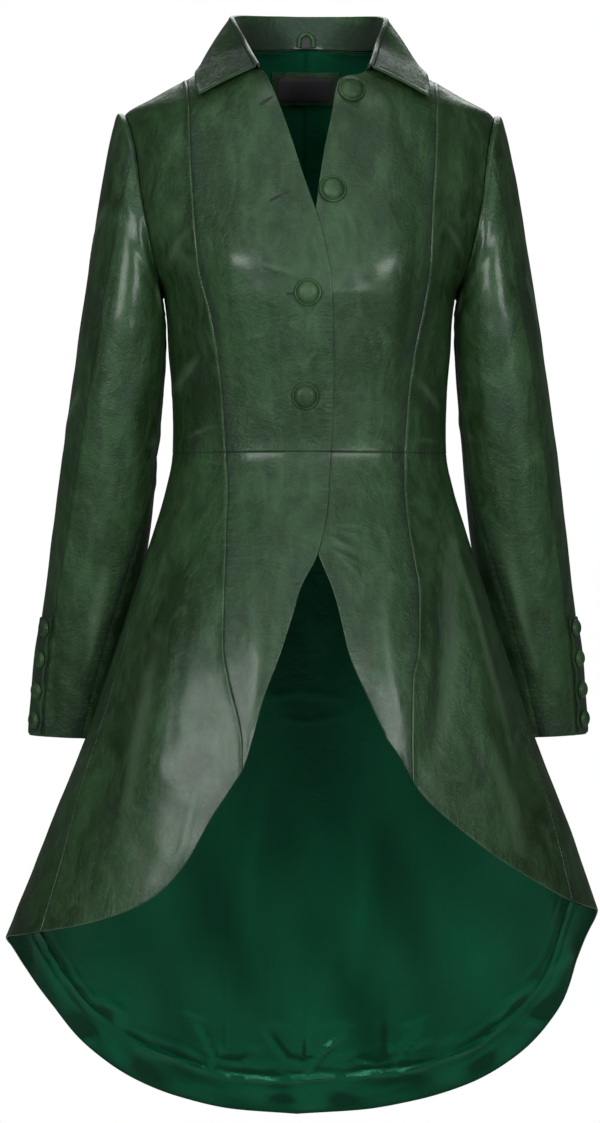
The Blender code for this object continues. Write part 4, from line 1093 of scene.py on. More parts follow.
def skirt(side):
    """The four panels of one side of the skirt. Returns the tail's lining spots, from the side seam back."""
    def princess_at(z):
        return front_angle(front_princess[side](z), z)

    def back_at(z):
        return CENTRE_BACK - front_angle(back_princess[side](z), z)

    princess_low = hem_crossing(princess_at, side)
    princess_end = float(princess_at(princess_low))
    side_low = hem_crossing(side_seam_angle, side)
    side_end = float(side_seam_angle(side_low))
    back_low = hem_crossing(back_at, side)
    back_end = float(back_at(back_low))
    princess_top = float(princess_at(WAIST_Z))
    side_top = float(side_seam_angle(WAIST_Z))
    back_top = float(back_at(WAIST_Z))
    edge_top = float(front_angle(front_edge[side](WAIST_Z), WAIST_Z))
    point = princess_end - math.degrees(POINT_WIDTH / float(half_width(princess_low)))
    hem_at_back = float(hem_z[side](CENTRE_BACK))
    creases = SKIRT_CREASES[side]

    z = np.linspace(WAIST_Z, EDGE_MEETS_HEM[side], LINE_SAMPLES)
    hem_from = front_angle(front_edge[side](z[-1]), z[-1])
    angles = np.linspace(float(hem_from), point, LINE_SAMPLES)
    edge_angles = np.concatenate([front_angle(front_edge[side](z), z), angles[1:]])
    edge_heights = np.concatenate([z, hem_z[side](angles[1:])])
    edge = line_on_form(edge_angles, edge_heights, SKIRT_ROWS, side)
    princess = seam_line(princess_at, WAIST_Z, princess_low, SKIRT_ROWS, side)
    top = waist_line(edge_top, princess_top, SKIRT_FRONT_COLUMNS, side)
    low = hem_line(point, princess_end, SKIRT_FRONT_COLUMNS, side)
    grid = panel_grid(edge, princess, top, low, side)
    panel("skirt_front_" + side, "skirt_front_" + side, grid, side, Edges(FREE, UNDER, SEWN, FREE), creases)

    side_seam = seam_line(side_seam_angle, WAIST_Z, side_low, SKIRT_ROWS, side)
    top = waist_line(princess_top, side_top, SKIRT_SIDE_COLUMNS, side)
    low = hem_line(princess_end, side_end, SKIRT_SIDE_COLUMNS, side)
    grid = panel_grid(princess, side_seam, top, low, side)
    panel("skirt_side_" + side, "skirt_side_" + side, grid, side, Edges(OVER, SEWN, SEWN, FREE), creases)

    def tail_grids(rows, side_columns, back_columns):
        side_seam = seam_line(side_seam_angle, WAIST_Z, side_low, rows, side)
        back = seam_line(back_at, WAIST_Z, back_low, rows, side)
        centre = seam_line(at_centre_back, WAIST_Z, hem_at_back, rows, side)
        top = waist_line(side_top, back_top, side_columns, side)
        low = hem_line(side_end, back_end, side_columns, side)
        beside = panel_grid(side_seam, back, top, low, side)
        top = waist_line(back_top, CENTRE_BACK, back_columns, side)
        low = hem_line(back_end, CENTRE_BACK, back_columns, side)
        return beside, panel_grid(back, centre, top, low, side)

    beside, behind = tail_grids(TAIL_ROWS, TAIL_SIDE_COLUMNS, TAIL_COLUMNS)
    panel("tail_side_" + side, "tail_side", beside, side, Edges(SEWN, OVER, SEWN, FREE), BACK_CREASES)
    panel("tail_" + side, "tail", behind, side, Edges(UNDER, SEWN, SEWN, FREE), BACK_CREASES)
    beside, behind = tail_grids(LINING_ROWS, LINING_SIDE_COLUMNS, LINING_COLUMNS)
    return end_to_end(beside, behind)


def tail_lining(grids):
    """The satin inside the tail: one sheet, with its seams, its folded hem and the puckers round them."""
    faces = []
    parts = {}
    for side, grid in grids.items():
        rows = gathered(grid.shape[1] - 1, mean_length(form_face(grid, side), 1))
        grid = np.stack([pick(line, rows) for line in grid])
        plain = form_face(grid, side)
        x, z = plain[..., 0], plain[..., 2]
        low = edge_distances(plain).low
        top = edge_distances(plain).top
        shared = crease_relief(BACK_CREASES, x, z) + slackness(x, z) * (1 - np.exp(-low / 12))
        uneven = 1 + 0.35 * np.sin(x / 23.0 + 0.7) + 0.25 * np.sin(x / 9.7)
        fold = HEM_FOLD + 2.2 * np.sin(x / 31.0) + 1.2 * np.sin(x / 12.0 + 1.0)
        rise = 1.5 * uneven * bell(low - fold, 3.2) - 0.7 * bell(low - fold - 7, 4.5)
        rise += 0.6 * uneven * bell(low - fold + 13, 3.0) * (0.5 + 0.5 * np.sin(x / 40.0 + 2))
        near_fold = bell(low - fold - 6, 16)
        rise += 0.4 * near_fold * np.sin((low + 5 * np.sin(x / 19.0)) / 2.6)
        waves = np.sin(x / 14.0 + np.sin(x / 33.0)) * np.sin(low / 11.0 + x / 60.0)
        rise += 0.85 * bell(low - 18, 14) * waves
        rise += crease_relief(LINING_CREASES, x, z)
        rise += 0.35 * np.sin(x / 21.0 + z / 90.0) * np.sin(z / 57.0 + x / 70.0) * ramp(low, 30, 90)
        # dark: painted shade along the hem's edge and over the turned-up band below the hem's fold; below,
        # the seams darken along their lines
        dark = -0.5 * bell(low, 4) - 0.22 * (1 - ramp(low, HEM_FOLD - 6, HEM_FOLD + 6))
        for seam in LINING_SEAMS:
            line = np.array(seam, float)
            at = np.interp(-z, -line[:, 1], line[:, 0])
            fade = ramp(z, line[-1, 1] - 6, line[-1, 1] + 3) * (1 - ramp(z, line[0, 1] - 60, line[0, 1]))
            aside = x - at
            fade = fade * (0.12 + 0.88 * (1 - ramp(z, -1048, -1015)))
            rise += fade * (0.5 * bell(aside - 2.0, 1.6) - 0.7 * bell(aside + 0.4, 1.3))
            rise += fade * 0.16 * ripple(z) * bell(aside, 6)
            dark -= 0.4 * fade * bell(aside, 1.6)
        rise = LINING_DEGREE * rise * ramp(low, 0, 8) * ramp(top, 0, 12)
        # Painted shade in the folds' troughs and painted highlight on their ridges
        dark += SATIN_PAINTED_SHADING * np.clip(rise, -1.5, 1.5)
        depth = LEATHER + LAYER_GAP - shared
        parts[side] = (grid, depth, depth + SATIN + np.maximum(rise, -0.25) + 0.25, dark)
    for reach in (1, 2):
        right = form_face(parts["right"][0], "right", parts["right"][reach])
        left = form_face(parts["left"][0], "left", parts["left"][reach])
        faces.append(np.concatenate([right, left[::-1][1:]]))
    dark = np.concatenate([parts["right"][3], parts["left"][3][::-1][1:]])
    for face in faces:
        pull_in(face, SEAM_GAP)
        pull_in(face, LINING_HEM, first=False, axis=1)
    piece = shell("tail_lining", *faces, dark, (MATERIALS["satin"],))
    nodes = [f"lining_{part}_{side}" for part in ("tail", "tail_side") for side in SIDES]
    cloth(piece, "satin", "tail_lining", *nodes)


def back_lining(grids):
    """The satin inside the two back panels, in one piece."""
    faces = []
    depth = LEATHER + LAYER_GAP
    plain = [form_face(grids[side], side) for side in SIDES]
    rises = [crease_relief(BACK_CREASES, face[..., 0], face[..., 2]) + slackness(face[..., 0], face[..., 2])
             for face in plain]
    for reach in (depth, depth + SATIN):
        right, left = (form_face(grids[side], side, reach - rise) for side, rise in zip(SIDES, rises))
        faces.append(np.concatenate([right[::-1], left[1:]]))
    for face in faces:
        pull_in(face, LINING_NECK_DROP, last=False, axis=1)
        pull_in(face, SEAM_GAP)
    middle = np.abs(faces[0][..., 0])
    piece = shell("back_lining", *faces, -0.6 * bell(middle, 1.5), (MATERIALS["satin"],))
    cloth(piece, "satin", "back_lining", "lining_back")


def sleeve_rings(psi, down, side):
    """Points on the sleeve's outer surface, for angles round its rings and distances down it."""
    at = {name: value(down) for name, value in ring.items()}
    turn = np.radians(psi)
    middle_x, middle_z = (at["outer_x"] + at["inner_x"]) / 2, (at["outer_z"] + at["inner_z"]) / 2
    reach_x, reach_z = (at["outer_x"] - at["inner_x"]) / 2, (at["outer_z"] - at["inner_z"]) / 2
    x = middle_x + reach_x * np.cos(turn)
    z = middle_z + reach_z * np.cos(turn)
    y = at["centre_y"] - at["half_depth"] * np.sin(turn)
    aside = SLEEVE_ASIDE * down / SLEEVE_LENGTH
    return np.stack([x * SIDES[side] + aside, y, z], axis=-1)


def sleeve_surface(psi, down, start, side):
    """The sleeve's surface, which leaves the armhole at the points start, one for each column."""
    fade = 1 - ramp(down, 0, ARMHOLE_BLEND)
    shift = start[:, None] - sleeve_rings(psi[:, :1], np.zeros((len(psi), 1)), side)
    return sleeve_rings(psi, down, side) + fade[..., None] * shift


def surface_normals(points, outward):
    """The normals of a grid of points, on the side that the sign outward picks."""
    along = np.gradient(points, axis=0)
    down = np.gradient(points, axis=1)
    return outward * unit(np.cross(along, down))


def sleeve(side):
    """The two pieces of one sleeve, its vent's flap and the buttons on the flap."""
    shoulder = np.linspace(0, ARMHOLE_BLEND, SLEEVE_SHOULDER_ROWS)
    arm = np.linspace(ARMHOLE_BLEND, SLEEVE_LENGTH, SLEEVE_ROWS)[1:-1]
    cuff = SLEEVE_LENGTH - np.array((0,) + EDGE_STEPS)
    down = np.unique(np.concatenate([[0.5, 1.0], shoulder, arm, cuff]))
    outer, inner = sleeve_seam["outer"](down), sleeve_seam["inner"](down)
    front = form_face(armhole_line(SLEEVE_HALF_COLUMNS, side, False), side)
    back = form_face(armhole_line(SLEEVE_HALF_COLUMNS, side, True), side)
    over = round(SLEEVE_HALF_COLUMNS * OUTER_SEAM_SHARE)
    start = np.concatenate([front[over:], back[::-1][1:], front[1:over]])
    front_columns, columns = len(front) - 1 - over, len(start)
    share = np.arange(columns)[:, None]
    in_front = outer + (inner - outer) * share / front_columns
    behind = inner + (outer + 360 - inner) * (share - front_columns) / (columns - front_columns)
    psi = np.where(share < front_columns, in_front, behind)
    rows = np.broadcast_to(down, psi.shape)
    points = sleeve_surface(psi, rows, start, side)
    around = np.roll(points, -1, axis=0) - np.roll(points, 1, axis=0)
    normals = SIDES[side] * unit(np.cross(around, np.gradient(points, axis=1)))
    turned = np.where(psi > 330, psi - 360, psi)
    folded = crease_relief(SLEEVE_CREASES[side], turned * SLEEVE_DEGREE, rows)
    rise = folded + slackness(turned * SLEEVE_DEGREE, rows) * ramp(rows, 0, 20)
    rise += 0.9 * bell(rows - 6, 5)
    front_piece = np.arange(front_columns + 1)
    back_piece = np.arange(front_columns, columns + 1) % columns
    for name, piece in (("sleeve_front", front_piece), ("sleeve_back", back_piece)):
        face = points[piece]
        distances = edge_distances(face)
        rolled, pressed, shade = edge_relief(distances, Edges(OVER, UNDER, OVER, FREE))
        # Painted shade in the crease troughs and painted highlight on their ridges, partly also rubbing and
        # dye caught in the creases
        shade += CREASE_WEAR_AND_SHADE * folded[piece]
        outside = face + normals[piece] * (rise[piece] + rolled)[..., None]
        inside = face + normals[piece] * (rise[piece] - LEATHER - pressed)[..., None]
        turned_in = distances.low < FACING
        node = f"{name}_{side}"
        made = shell(node, outside, inside, shade, LINED, turned_in, gathers(distances))
        cloth(made, "leather", name, node)
    vent(side)


def vent(side):
    """The flap of the cuff's vent, drawn in a little between its buttonholes, and its four buttons."""
    down = np.linspace(VENT_TOP, VENT_LOW, VENT_ROWS + 1)
    share = np.linspace(0, 1, VENT_COLUMNS + 1)[:, None]
    near = sleeve_seam["outer"](down) - VENT_NEAR
    drawn = sum(bell(down - place, 9.0) for place in CUFF_BUTTONS_DOWN)
    near = near + SCALLOP * (drawn - 0.6)
    far = sleeve_seam["outer"](down) - VENT_FAR
    psi = far + (near - far) * share
    rows = np.broadcast_to(down, psi.shape)
    points = sleeve_rings(psi, rows, side)
    normals = surface_normals(points, SIDES[side])
    distances = edge_distances(points)
    rolled, _, shade = edge_relief(distances, Edges(SEWN, FREE, FREE, FREE))
    puffed = 0.9 * (1 - drawn) * bell(distances.last - 3, 5) * ramp(distances.low, 0, 6)
    crease = relief_under(side, psi, rows)
    outside = points + normals * (LAYER_GAP + VENT_WALL + crease + puffed + 0.7 * rolled)[..., None]
    inside = points + normals * (LAYER_GAP + crease + 0.6 * puffed)[..., None]
    shade = shade - 0.5
    made = shell("vent_" + side, outside, inside, shade, (MATERIALS["leather"],))
    cloth(made, "leather", "vent", "vent_" + side, held="laid")
    for number, place in enumerate(CUFF_BUTTONS_DOWN, 1):
        point, normal = sleeve_spot(CUFF_BUTTON_ANGLE, place, side)
        lift = LAYER_GAP + VENT_WALL + CUFF_BUTTON_LIFT
        name = f"button_cuff_{side}_{number}"
        covered_button(name, point + normal * lift, normal, CUFF_BUTTON_RADIUS, CUFF_BUTTON_HEIGHT)


def relief_under(side, psi, rows):
    """How far the sleeve's own surface is raised below the vent's flap."""
    rise = crease_relief(SLEEVE_CREASES[side], psi * SLEEVE_DEGREE, rows)
    return rise + slackness(psi * SLEEVE_DEGREE, rows)


def sleeve_spot(psi, down, side):
    """A point on the sleeve and the normal there."""
    steps = np.array([-1.0, 0.0, 1.0])
    psi, down = np.meshgrid(psi + steps, down + steps, indexing="ij")
    points = sleeve_rings(psi, down, side)
    return points[1, 1], surface_normals(points, SIDES[side])[1, 1]


def form_spot(out, z, side, depth=0.0):
    """A point on the front of the form and the normal there."""
    spots = np.array([[float(front_angle(out, z)), z]])
    surface, below = form_face(spots, side, depth)[0], form_face(spots, side, depth + 1.0)[0]
    return surface, surface - below


def covered_button(name, place, normal, radius, height):
    """A button covered in leather: a low dome inside a rolled rim, turned round its axis."""
    profile = [Vector((reach * radius, 0, rise * height)) for reach, rise in BUTTON_PROFILE]
    bm = bmesh.new()
    verts = [bm.verts.new(point) for point in profile]
    edges = [bm.edges.new(pair) for pair in zip(verts, verts[1:])]
    turn = {"angle": math.tau, "steps": BUTTON_STEPS, "axis": (0, 0, 1), "cent": (0, 0, 0)}
    bmesh.ops.spin(bm, geom=verts + edges, use_merge=True, **turn)
    bmesh.ops.remove_doubles(bm, verts=bm.verts, dist=0.001)
    bmesh.ops.recalc_face_normals(bm, faces=bm.faces)
    facing = Vector((0, 0, 1)).rotation_difference(Vector(normal)).to_matrix().to_4x4()
    seat = Matrix.Scale(MM, 4) @ Matrix.Translation(place) @ facing
    bmesh.ops.transform(bm, matrix=seat, verts=bm.verts)
    mesh = bpy.data.meshes.new(name)
    bm.to_mesh(mesh)
    bm.free()
    mesh.materials.append(MATERIALS["button"])
    piece = finished(name, mesh)
    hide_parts(name)


def buttonhole(name, side, start, end):
    """A bound slit between two spots, each a distance out and a height: a cord of thread round a dark sheet
    that is painted shade inside the slit.
    """
    a, b = np.array(start, float), np.array(end, float)
    along = unit(b - a)
    across = np.array([-along[1], along[0]])
    half = np.linalg.norm(b - a) / 2
    middle = (a + b) / 2
    turn = np.linspace(0, math.tau, HOLE_STEPS, endpoint=False)
    eye = 1 + EYE_SWELL * bell(np.cos(turn) - 1, 0.35)
    path = []
    for t, wide in zip(turn, eye):
        spot = middle + along * half * math.cos(t) + across * HOLE_WIDTH * wide * math.sin(t)
        point, normal = form_spot(spot[0], spot[1], side)
        path.append(point + normal * THREAD_RADIUS * 0.7)
    curve = bpy.data.curves.new(name, "CURVE")
    curve.dimensions = "3D"
    curve.bevel_depth = THREAD_RADIUS * MM
    curve.bevel_resolution = 2
    line = curve.splines.new("POLY")
    line.points.add(len(path) - 1)
    for knot, point in zip(line.points, path):
        knot.co = (*(Vector(point) * MM), 1.0)
    line.use_cyclic_u = True
    drawn = bpy.data.objects.new(name + "_curve", curve)
    bpy.context.scene.collection.objects.link(drawn)
    mesh = bpy.data.meshes.new_from_object(drawn)
    bpy.data.objects.remove(drawn)
    mesh.name = name
    mesh.materials.clear()
    mesh.materials.append(MATERIALS["thread"])
    finished(name, mesh)

    share = np.linspace(-1, 1, 25)[:, None]
    width = np.linspace(-1, 1, 3)[None, :]
    swell = 1 + EYE_SWELL * bell(share - 1, 0.35)
    reach = np.sqrt(np.maximum(1 - share**2, 0.01))
    aside = (width * swell * reach * HOLE_WIDTH)[..., None] * across
    spots = middle + share[..., None] * along * (half - 0.2) + aside
    angles = np.stack([front_angle(spots[..., 0], spots[..., 1]), spots[..., 1]], axis=-1)
    # A near-black sheet in the slit: painted shade
    cut = form_face(angles, side, -0.35), form_face(angles, side, 0.3)
    piece = shell(name + "_cut", *cut, np.full(share.shape[:1] + width.shape[1:], -1.0), (MATERIALS["cut"],))


def collar_line(angle, place):
    """Points of the collar's table at angles that run past the centre back to the right side."""
    mirror = np.where(angle > CENTRE_BACK, -1, 1)
    folded = np.where(angle > CENTRE_BACK, 2 * CENTRE_BACK - angle, angle)
    x, y, z = (collar[place + axis](folded) for axis in ("_x", "_y", "_z"))
    return np.stack([x * mirror, y, z], axis=-1)


def build_collar():
    """The collar: a stand, a round fold and a fall with a line of sewing inside its edge."""
    angle = np.linspace(COLLAR_END_ANGLE, 2 * CENTRE_BACK - COLLAR_END_ANGLE, COLLAR_COLUMNS + 1)
    angle = np.interp(gathered(COLLAR_COLUMNS, COLLAR_LENGTH), np.arange(len(angle)), angle)
    mirror = np.where(angle > CENTRE_BACK, -1, 1)[:, None] * np.array([1, 0, 0]) + np.array([0, 1, 1])
    folded = np.where(angle > CENTRE_BACK, 2 * CENTRE_BACK - angle, angle)
    spots = np.stack([folded, neck_z(folded)], axis=-1)
    foot = form_face(spots, "left") * mirror + np.array([0, 0, COLLAR_GAP])
    fold, edge = collar_line(angle, "fold"), collar_line(angle, "edge")
    away = unit((edge - foot) * np.array([1, 1, 0]))
    foot = foot - away * COLLAR_GAP
    seam = foot - away * COLLAR_WALL
    up = np.array([0.0, 0.0, 1.0])
    centre = fold - up * FOLD_RADIUS
    rows = []
    for share in np.linspace(0, 1, STAND_ROWS + 1)[:-1]:
        rows.append(seam + (centre - away * FOLD_RADIUS - seam) * share)
    for turn in np.linspace(0, math.pi, FOLD_ROWS + 1):
        rows.append(centre + FOLD_RADIUS * (up * math.sin(turn) - away * math.cos(turn)))
    start = centre + away * FOLD_RADIUS
    for place in gathered(FALL_ROWS, COLLAR_FALL)[1:]:
        share = place / FALL_ROWS
        rows.append(start + (edge - start) * share + away * FALL_BULGE * math.sin(math.pi * share))
    points = np.stack(rows, axis=1)
    behind = bell(np.arange(len(points)) - COLLAR_COLUMNS / 2, EASED_COLUMNS)[1:-1, None, None]
    for _ in range(COLLAR_EASING):
        eased = (points[:-2] + points[2:]) / 2
        points[1:-1] += (eased - points[1:-1]) * 0.5 * behind
    normals = surface_normals(points, -1)
    distances = edge_distances(points)
    near = np.minimum(np.minimum(distances.first, distances.last), distances.low)
    rolled, pressed, shade = edge_relief(distances, Edges(FREE, FREE, SEWN, FREE))
    stitched = np.sin((distances.first + distances.low) / STITCH * math.pi)
    raised = 0.35 * bell(near - 2.6, 2.2) - 0.7 * bell(near - COLLAR_SEWN, 0.9) * (0.75 + 0.25 * stitched)
    raised += 0.3 * slackness(distances.first, distances.top * 2) * ramp(near, 3, 12)
    on_fall = ramp(distances.top, 18, 34)
    # Darker along the line of sewing on the fall, and painted shade over the inside of the stand
    shade = shade - 0.55 * bell(near - COLLAR_SEWN, 1.2) * on_fall - 1.5 * (1 - ramp(distances.top, 26, 38))
    # Takes the painted highlight off the collar's front ends, leaving them a little darker
    shade -= 0.9 * bell(np.minimum(distances.first, distances.last), 2.5)
    outer = points + normals * (rolled + raised * on_fall)[..., None]
    inner = points - normals * (COLLAR_WALL + pressed)[..., None]
    inner[:, 0] = foot
    made = shell("collar", outer, inner, shade, (MATERIALS["leather"],))
    cloth(made, "leather", "collar", "collar", held="folded")


def neck_patch(name, size, depth, thickness, finish, slot, cut):
    """A small piece inside the centre back, on the lining's own form."""
    width, height = size
    out = np.linspace(-width / 2, width / 2, PATCH_COLUMNS + 1)
    z = LABEL_Z + np.linspace(height / 2, -height / 2, PATCH_ROWS + 1)
    out, z = np.meshgrid(out, z, indexing="ij")
    grid = np.stack([CENTRE_BACK + front_angle(out, z), z], axis=-1)
    distances = edge_distances(form_face(grid, "left", depth))
    near = np.minimum.reduce(distances)
    sunk = 0.3 * bell(near - 1.6, 0.7) + 0.3 * rounding(near, 0.8)
    shade = 0.5 * bell(near, 0.8) - 0.5 * bell(near - 1.6, 0.7)
    faces = form_face(grid, "left", depth), form_face(grid, "left", depth + thickness - sunk)
    piece = shell(name, *faces, shade, (finish,))
    cloth(piece, slot, cut, name, held="laid")


def stand_plane(x, rise, depth):
    """Points a distance up the inside of the collar's stand at the centre back, and a depth before it."""
    seam = form_face(np.array([[CENTRE_BACK, float(neck_z(CENTRE_BACK))]]), "left")[0]
    seam = seam + np.array([0, -COLLAR_GAP - COLLAR_WALL, COLLAR_GAP])
    top = collar_line(np.array([CENTRE_BACK]), "fold")[0] - np.array([0, FOLD_RADIUS, FOLD_RADIUS])
    up = unit(top - seam)
    ahead = np.cross(up, [1.0, 0.0, 0.0])
    ahead = ahead * -np.sign(ahead[1])
    bend = STAND_CURVE * x**2
    across = np.array([1.0, 0.0, 0.0])
    return seam + up * rise[..., None] + ahead * (depth + bend)[..., None] + across * x[..., None]


def hanger_loop():
    """A round strip bent into an arch on the collar's stand, with a bare tab below it."""
    middle = LOOP_WIDTH / 2 - LOOP_STRIP / 2
    turn = np.linspace(0, math.pi, LOOP_COLUMNS - 1)
    straight = LOOP_RISE - LOOP_WIDTH / 2
    bend = [(-middle * math.cos(t), straight + middle * math.sin(t), -math.cos(t), math.sin(t)) for t in turn]
    path = [(-middle, 0, -1, 0)] + bend + [(middle, 0, 1, 0)]
    half = LOOP_STRIP / 2
    across = np.linspace(-1, 1, LOOP_ROWS + 1)
    spots = np.array([[(x + s * half * nx, z + s * half * nz) for s in across] for x, z, nx, nz in path])
    crown = np.sqrt(np.maximum(1 - across**2, 0.02))[None, :] * np.ones((len(path), 1))
    x, rise = spots[..., 0], spots[..., 1] + LOOP_FOOT
    middle_depth = LOOP_DEPTH + LOOP_WALL / 2
    faces = [stand_plane(x, rise, middle_depth + sign * crown * LOOP_WALL / 2) for sign in (-1, 1)]
    piece = shell("hanger_loop", *faces, 0.3 * crown - 0.3, (MATERIALS["leather"],))
    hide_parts("hanger_loop")
    width, height = TAB_SIZE
    x, rise = np.meshgrid(np.linspace(-width / 2, width / 2, 13), np.linspace(0, height, 9), indexing="ij")
    x, rise = x - TAB_ASIDE, rise + LOOP_FOOT
    faces = stand_plane(x, rise, x * 0 + LAYER_GAP), stand_plane(x, rise, x * 0 + LAYER_GAP + TAB_WALL)
    piece = shell("size_tab", *faces, x * 0, (MATERIALS["label"],))
    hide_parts("size_tab")


def knot(tree, kind, **settings):
    """A node of this kind in a material, with its settings made."""
    made = tree.nodes.new(kind)
    for name, value in settings.items():
        setattr(made, name, value)
    return made


def join(tree, source, target):
    tree.links.new(source, target)


def stretched(tree, scale):
    """The object's own coordinates, stretched along its axes."""
    coords = knot(tree, "ShaderNodeTexCoord")
    mapping = knot(tree, "ShaderNodeMapping")
    mapping.inputs["Scale"].default_value = scale
    join(tree, coords.outputs["Object"], mapping.inputs["Vector"])
    return mapping.outputs["Vector"]


def cloudy(tree, scale, detail, roughness, stretch=(1, 1, 1), distortion=0.0):
    noise = knot(tree, "ShaderNodeTexNoise")
    noise.inputs["Scale"].default_value = scale
    noise.inputs["Detail"].default_value = detail
    noise.inputs["Roughness"].default_value = roughness
    noise.inputs["Distortion"].default_value = distortion
    join(tree, stretched(tree, stretch), noise.inputs["Vector"])
    return noise.outputs["Fac"]


def between(tree, value, low, high, to_low, to_high):
    """A value brought from one range to another, and kept in it."""
    made = knot(tree, "ShaderNodeMapRange", clamp=True)
    for name, number in zip(("From Min", "From Max", "To Min", "To Max"), (low, high, to_low, to_high)):
        made.inputs[name].default_value = number
    join(tree, value, made.inputs["Value"])
    return made.outputs["Result"]


def blended(tree, share, first, second):
    """One colour laid over another. Each may be a colour or an output."""
    made = knot(tree, "ShaderNodeMix", data_type="RGBA")
    join(tree, share, made.inputs[0])
    for colour, socket in ((first, made.inputs[6]), (second, made.inputs[7])):
        if isinstance(colour, tuple):
            socket.default_value = colour
        else:
            join(tree, colour, socket)
    return made.outputs[2]


def raised(tree, height, strength, distance, below=None):
    bump = knot(tree, "ShaderNodeBump")
    bump.inputs["Strength"].default_value = strength
    bump.inputs["Distance"].default_value = distance
    join(tree, height, bump.inputs["Height"])
    if below is not None:
        join(tree, below, bump.inputs["Normal"])
    return bump.outputs["Normal"]


def reckoned(tree, operation, first, second):
    made = knot(tree, "ShaderNodeMath", operation=operation)
    join(tree, first, made.inputs[0])
    join(tree, second, made.inputs[1])
    return made.outputs["Value"]


def fresh(name):
    made = bpy.data.materials.new(name)
    made.use_nodes = True
    return made, made.node_tree, made.node_tree.nodes["Principled BSDF"]


def marked(tree, kind):
    """What the points of a piece are marked with."""
    return knot(tree, "ShaderNodeAttribute", attribute_name=kind).outputs["Fac"]


def dyed_leather(name, tone, grain=1.0, wear_and_painted_light=1.0, gloss=0.2):
    """Thin dyed leather: a patchy worn green, burnished along the seams, with pores and fine creases, and
    with painted shade and painted highlight where the shade mark carries them.
    """
    made, tree, shader = fresh(name)
    dark, middle, light = (tuple(value * tone for value in colour) + (1.0,) for colour in LEATHER_GREENS)
    patches = cloudy(tree, 14, 6, 0.66, (1, 1, 0.5), 0.7)
    clouds = cloudy(tree, 40, 6, 0.66, (1, 1, 0.5), 0.9)
    streaks = cloudy(tree, 70, 4, 0.6, (1, 1, 0.12), 0.3)
    colour = blended(tree, between(tree, patches, 0.4, 0.6, 0.0, 1.0), dark, middle)
    colour = blended(tree, between(tree, clouds, 0.45, 0.66, 0.0, 0.6), colour, light)
    colour = blended(tree, between(tree, streaks, 0.48, 0.66, 0.0, 0.6), colour, dark)
    shade = marked(tree, "shade")
    blotches = between(tree, cloudy(tree, 36, 6, 0.68, (1, 1, 0.6), 1.1), 0.32, 0.68, -0.7, 0.55)
    # Below 0 the shade mark brings in the darker tone, partly burnishing and partly painted shade; above 0
    # the lighter tone, partly rubbing and partly painted highlight
    burnish_and_shade = between(tree, reckoned(tree, "ADD", shade, blotches), -1.2, -0.2, 0.85 * wear_and_painted_light, 0.0)
    colour = blended(tree, burnish_and_shade, colour, tuple(v * tone for v in BURNISHED_AND_SHADED) + (1.0,))
    rubbed_and_highlit = between(tree, shade, 0.1, 1.0, 0.0, 0.75 * wear_and_painted_light)
    colour = blended(tree, rubbed_and_highlit, colour, tuple(v * tone for v in RUBBED_AND_HIGHLIGHT) + (1.0,))
    join(tree, colour, shader.inputs["Base Color"])
    sheen_spots = cloudy(tree, 60, 4, 0.7, (1, 1, 0.6), 0.5)
    join(tree, between(tree, sheen_spots, 0.3, 0.7, 0.36, 0.54), shader.inputs["Roughness"])
    shader.inputs["Specular IOR Level"].default_value = 0.36
    shader.inputs["Specular Tint"].default_value = (*SHEEN, 1.0)
    shader.inputs["Coat Tint"].default_value = (*SHEEN, 1.0)
    shader.inputs["Coat Weight"].default_value = gloss
    shader.inputs["Coat Roughness"].default_value = 0.2
    cells = knot(tree, "ShaderNodeTexVoronoi", feature="F1")
    cells.inputs["Scale"].default_value = 780
    join(tree, stretched(tree, (1, 1, 0.8)), cells.inputs["Vector"])
    folds = cloudy(tree, 120, 6, 0.68, (0.8, 1, 1.1), 1.6)
    swells = cloudy(tree, 34, 5, 0.6, (1, 1, 0.7), 1.0)
    gather = marked(tree, "gather")
    upright = cloudy(tree, 260, 2, 0.5, (1, 1, 0.1))
    level = cloudy(tree, 260, 2, 0.5, (0.1, 0.1, 1))
    upright = reckoned(tree, "MULTIPLY", upright, between(tree, gather, 0.0, 1.0, 0.0, 1.0))
    level = reckoned(tree, "MULTIPLY", level, between(tree, gather, -1.0, 0.0, 1.0, 0.0))
    normal = raised(tree, swells, 0.65, 0.0024)
    normal = raised(tree, reckoned(tree, "ADD", upright, level), 0.8 * grain, 0.0012, normal)
    normal = raised(tree, folds, 0.75 * grain, 0.001, normal)
    normal = raised(tree, cells.outputs["Distance"], 0.22 * grain, 0.00025, normal)
    join(tree, normal, shader.inputs["Normal"])
    return made


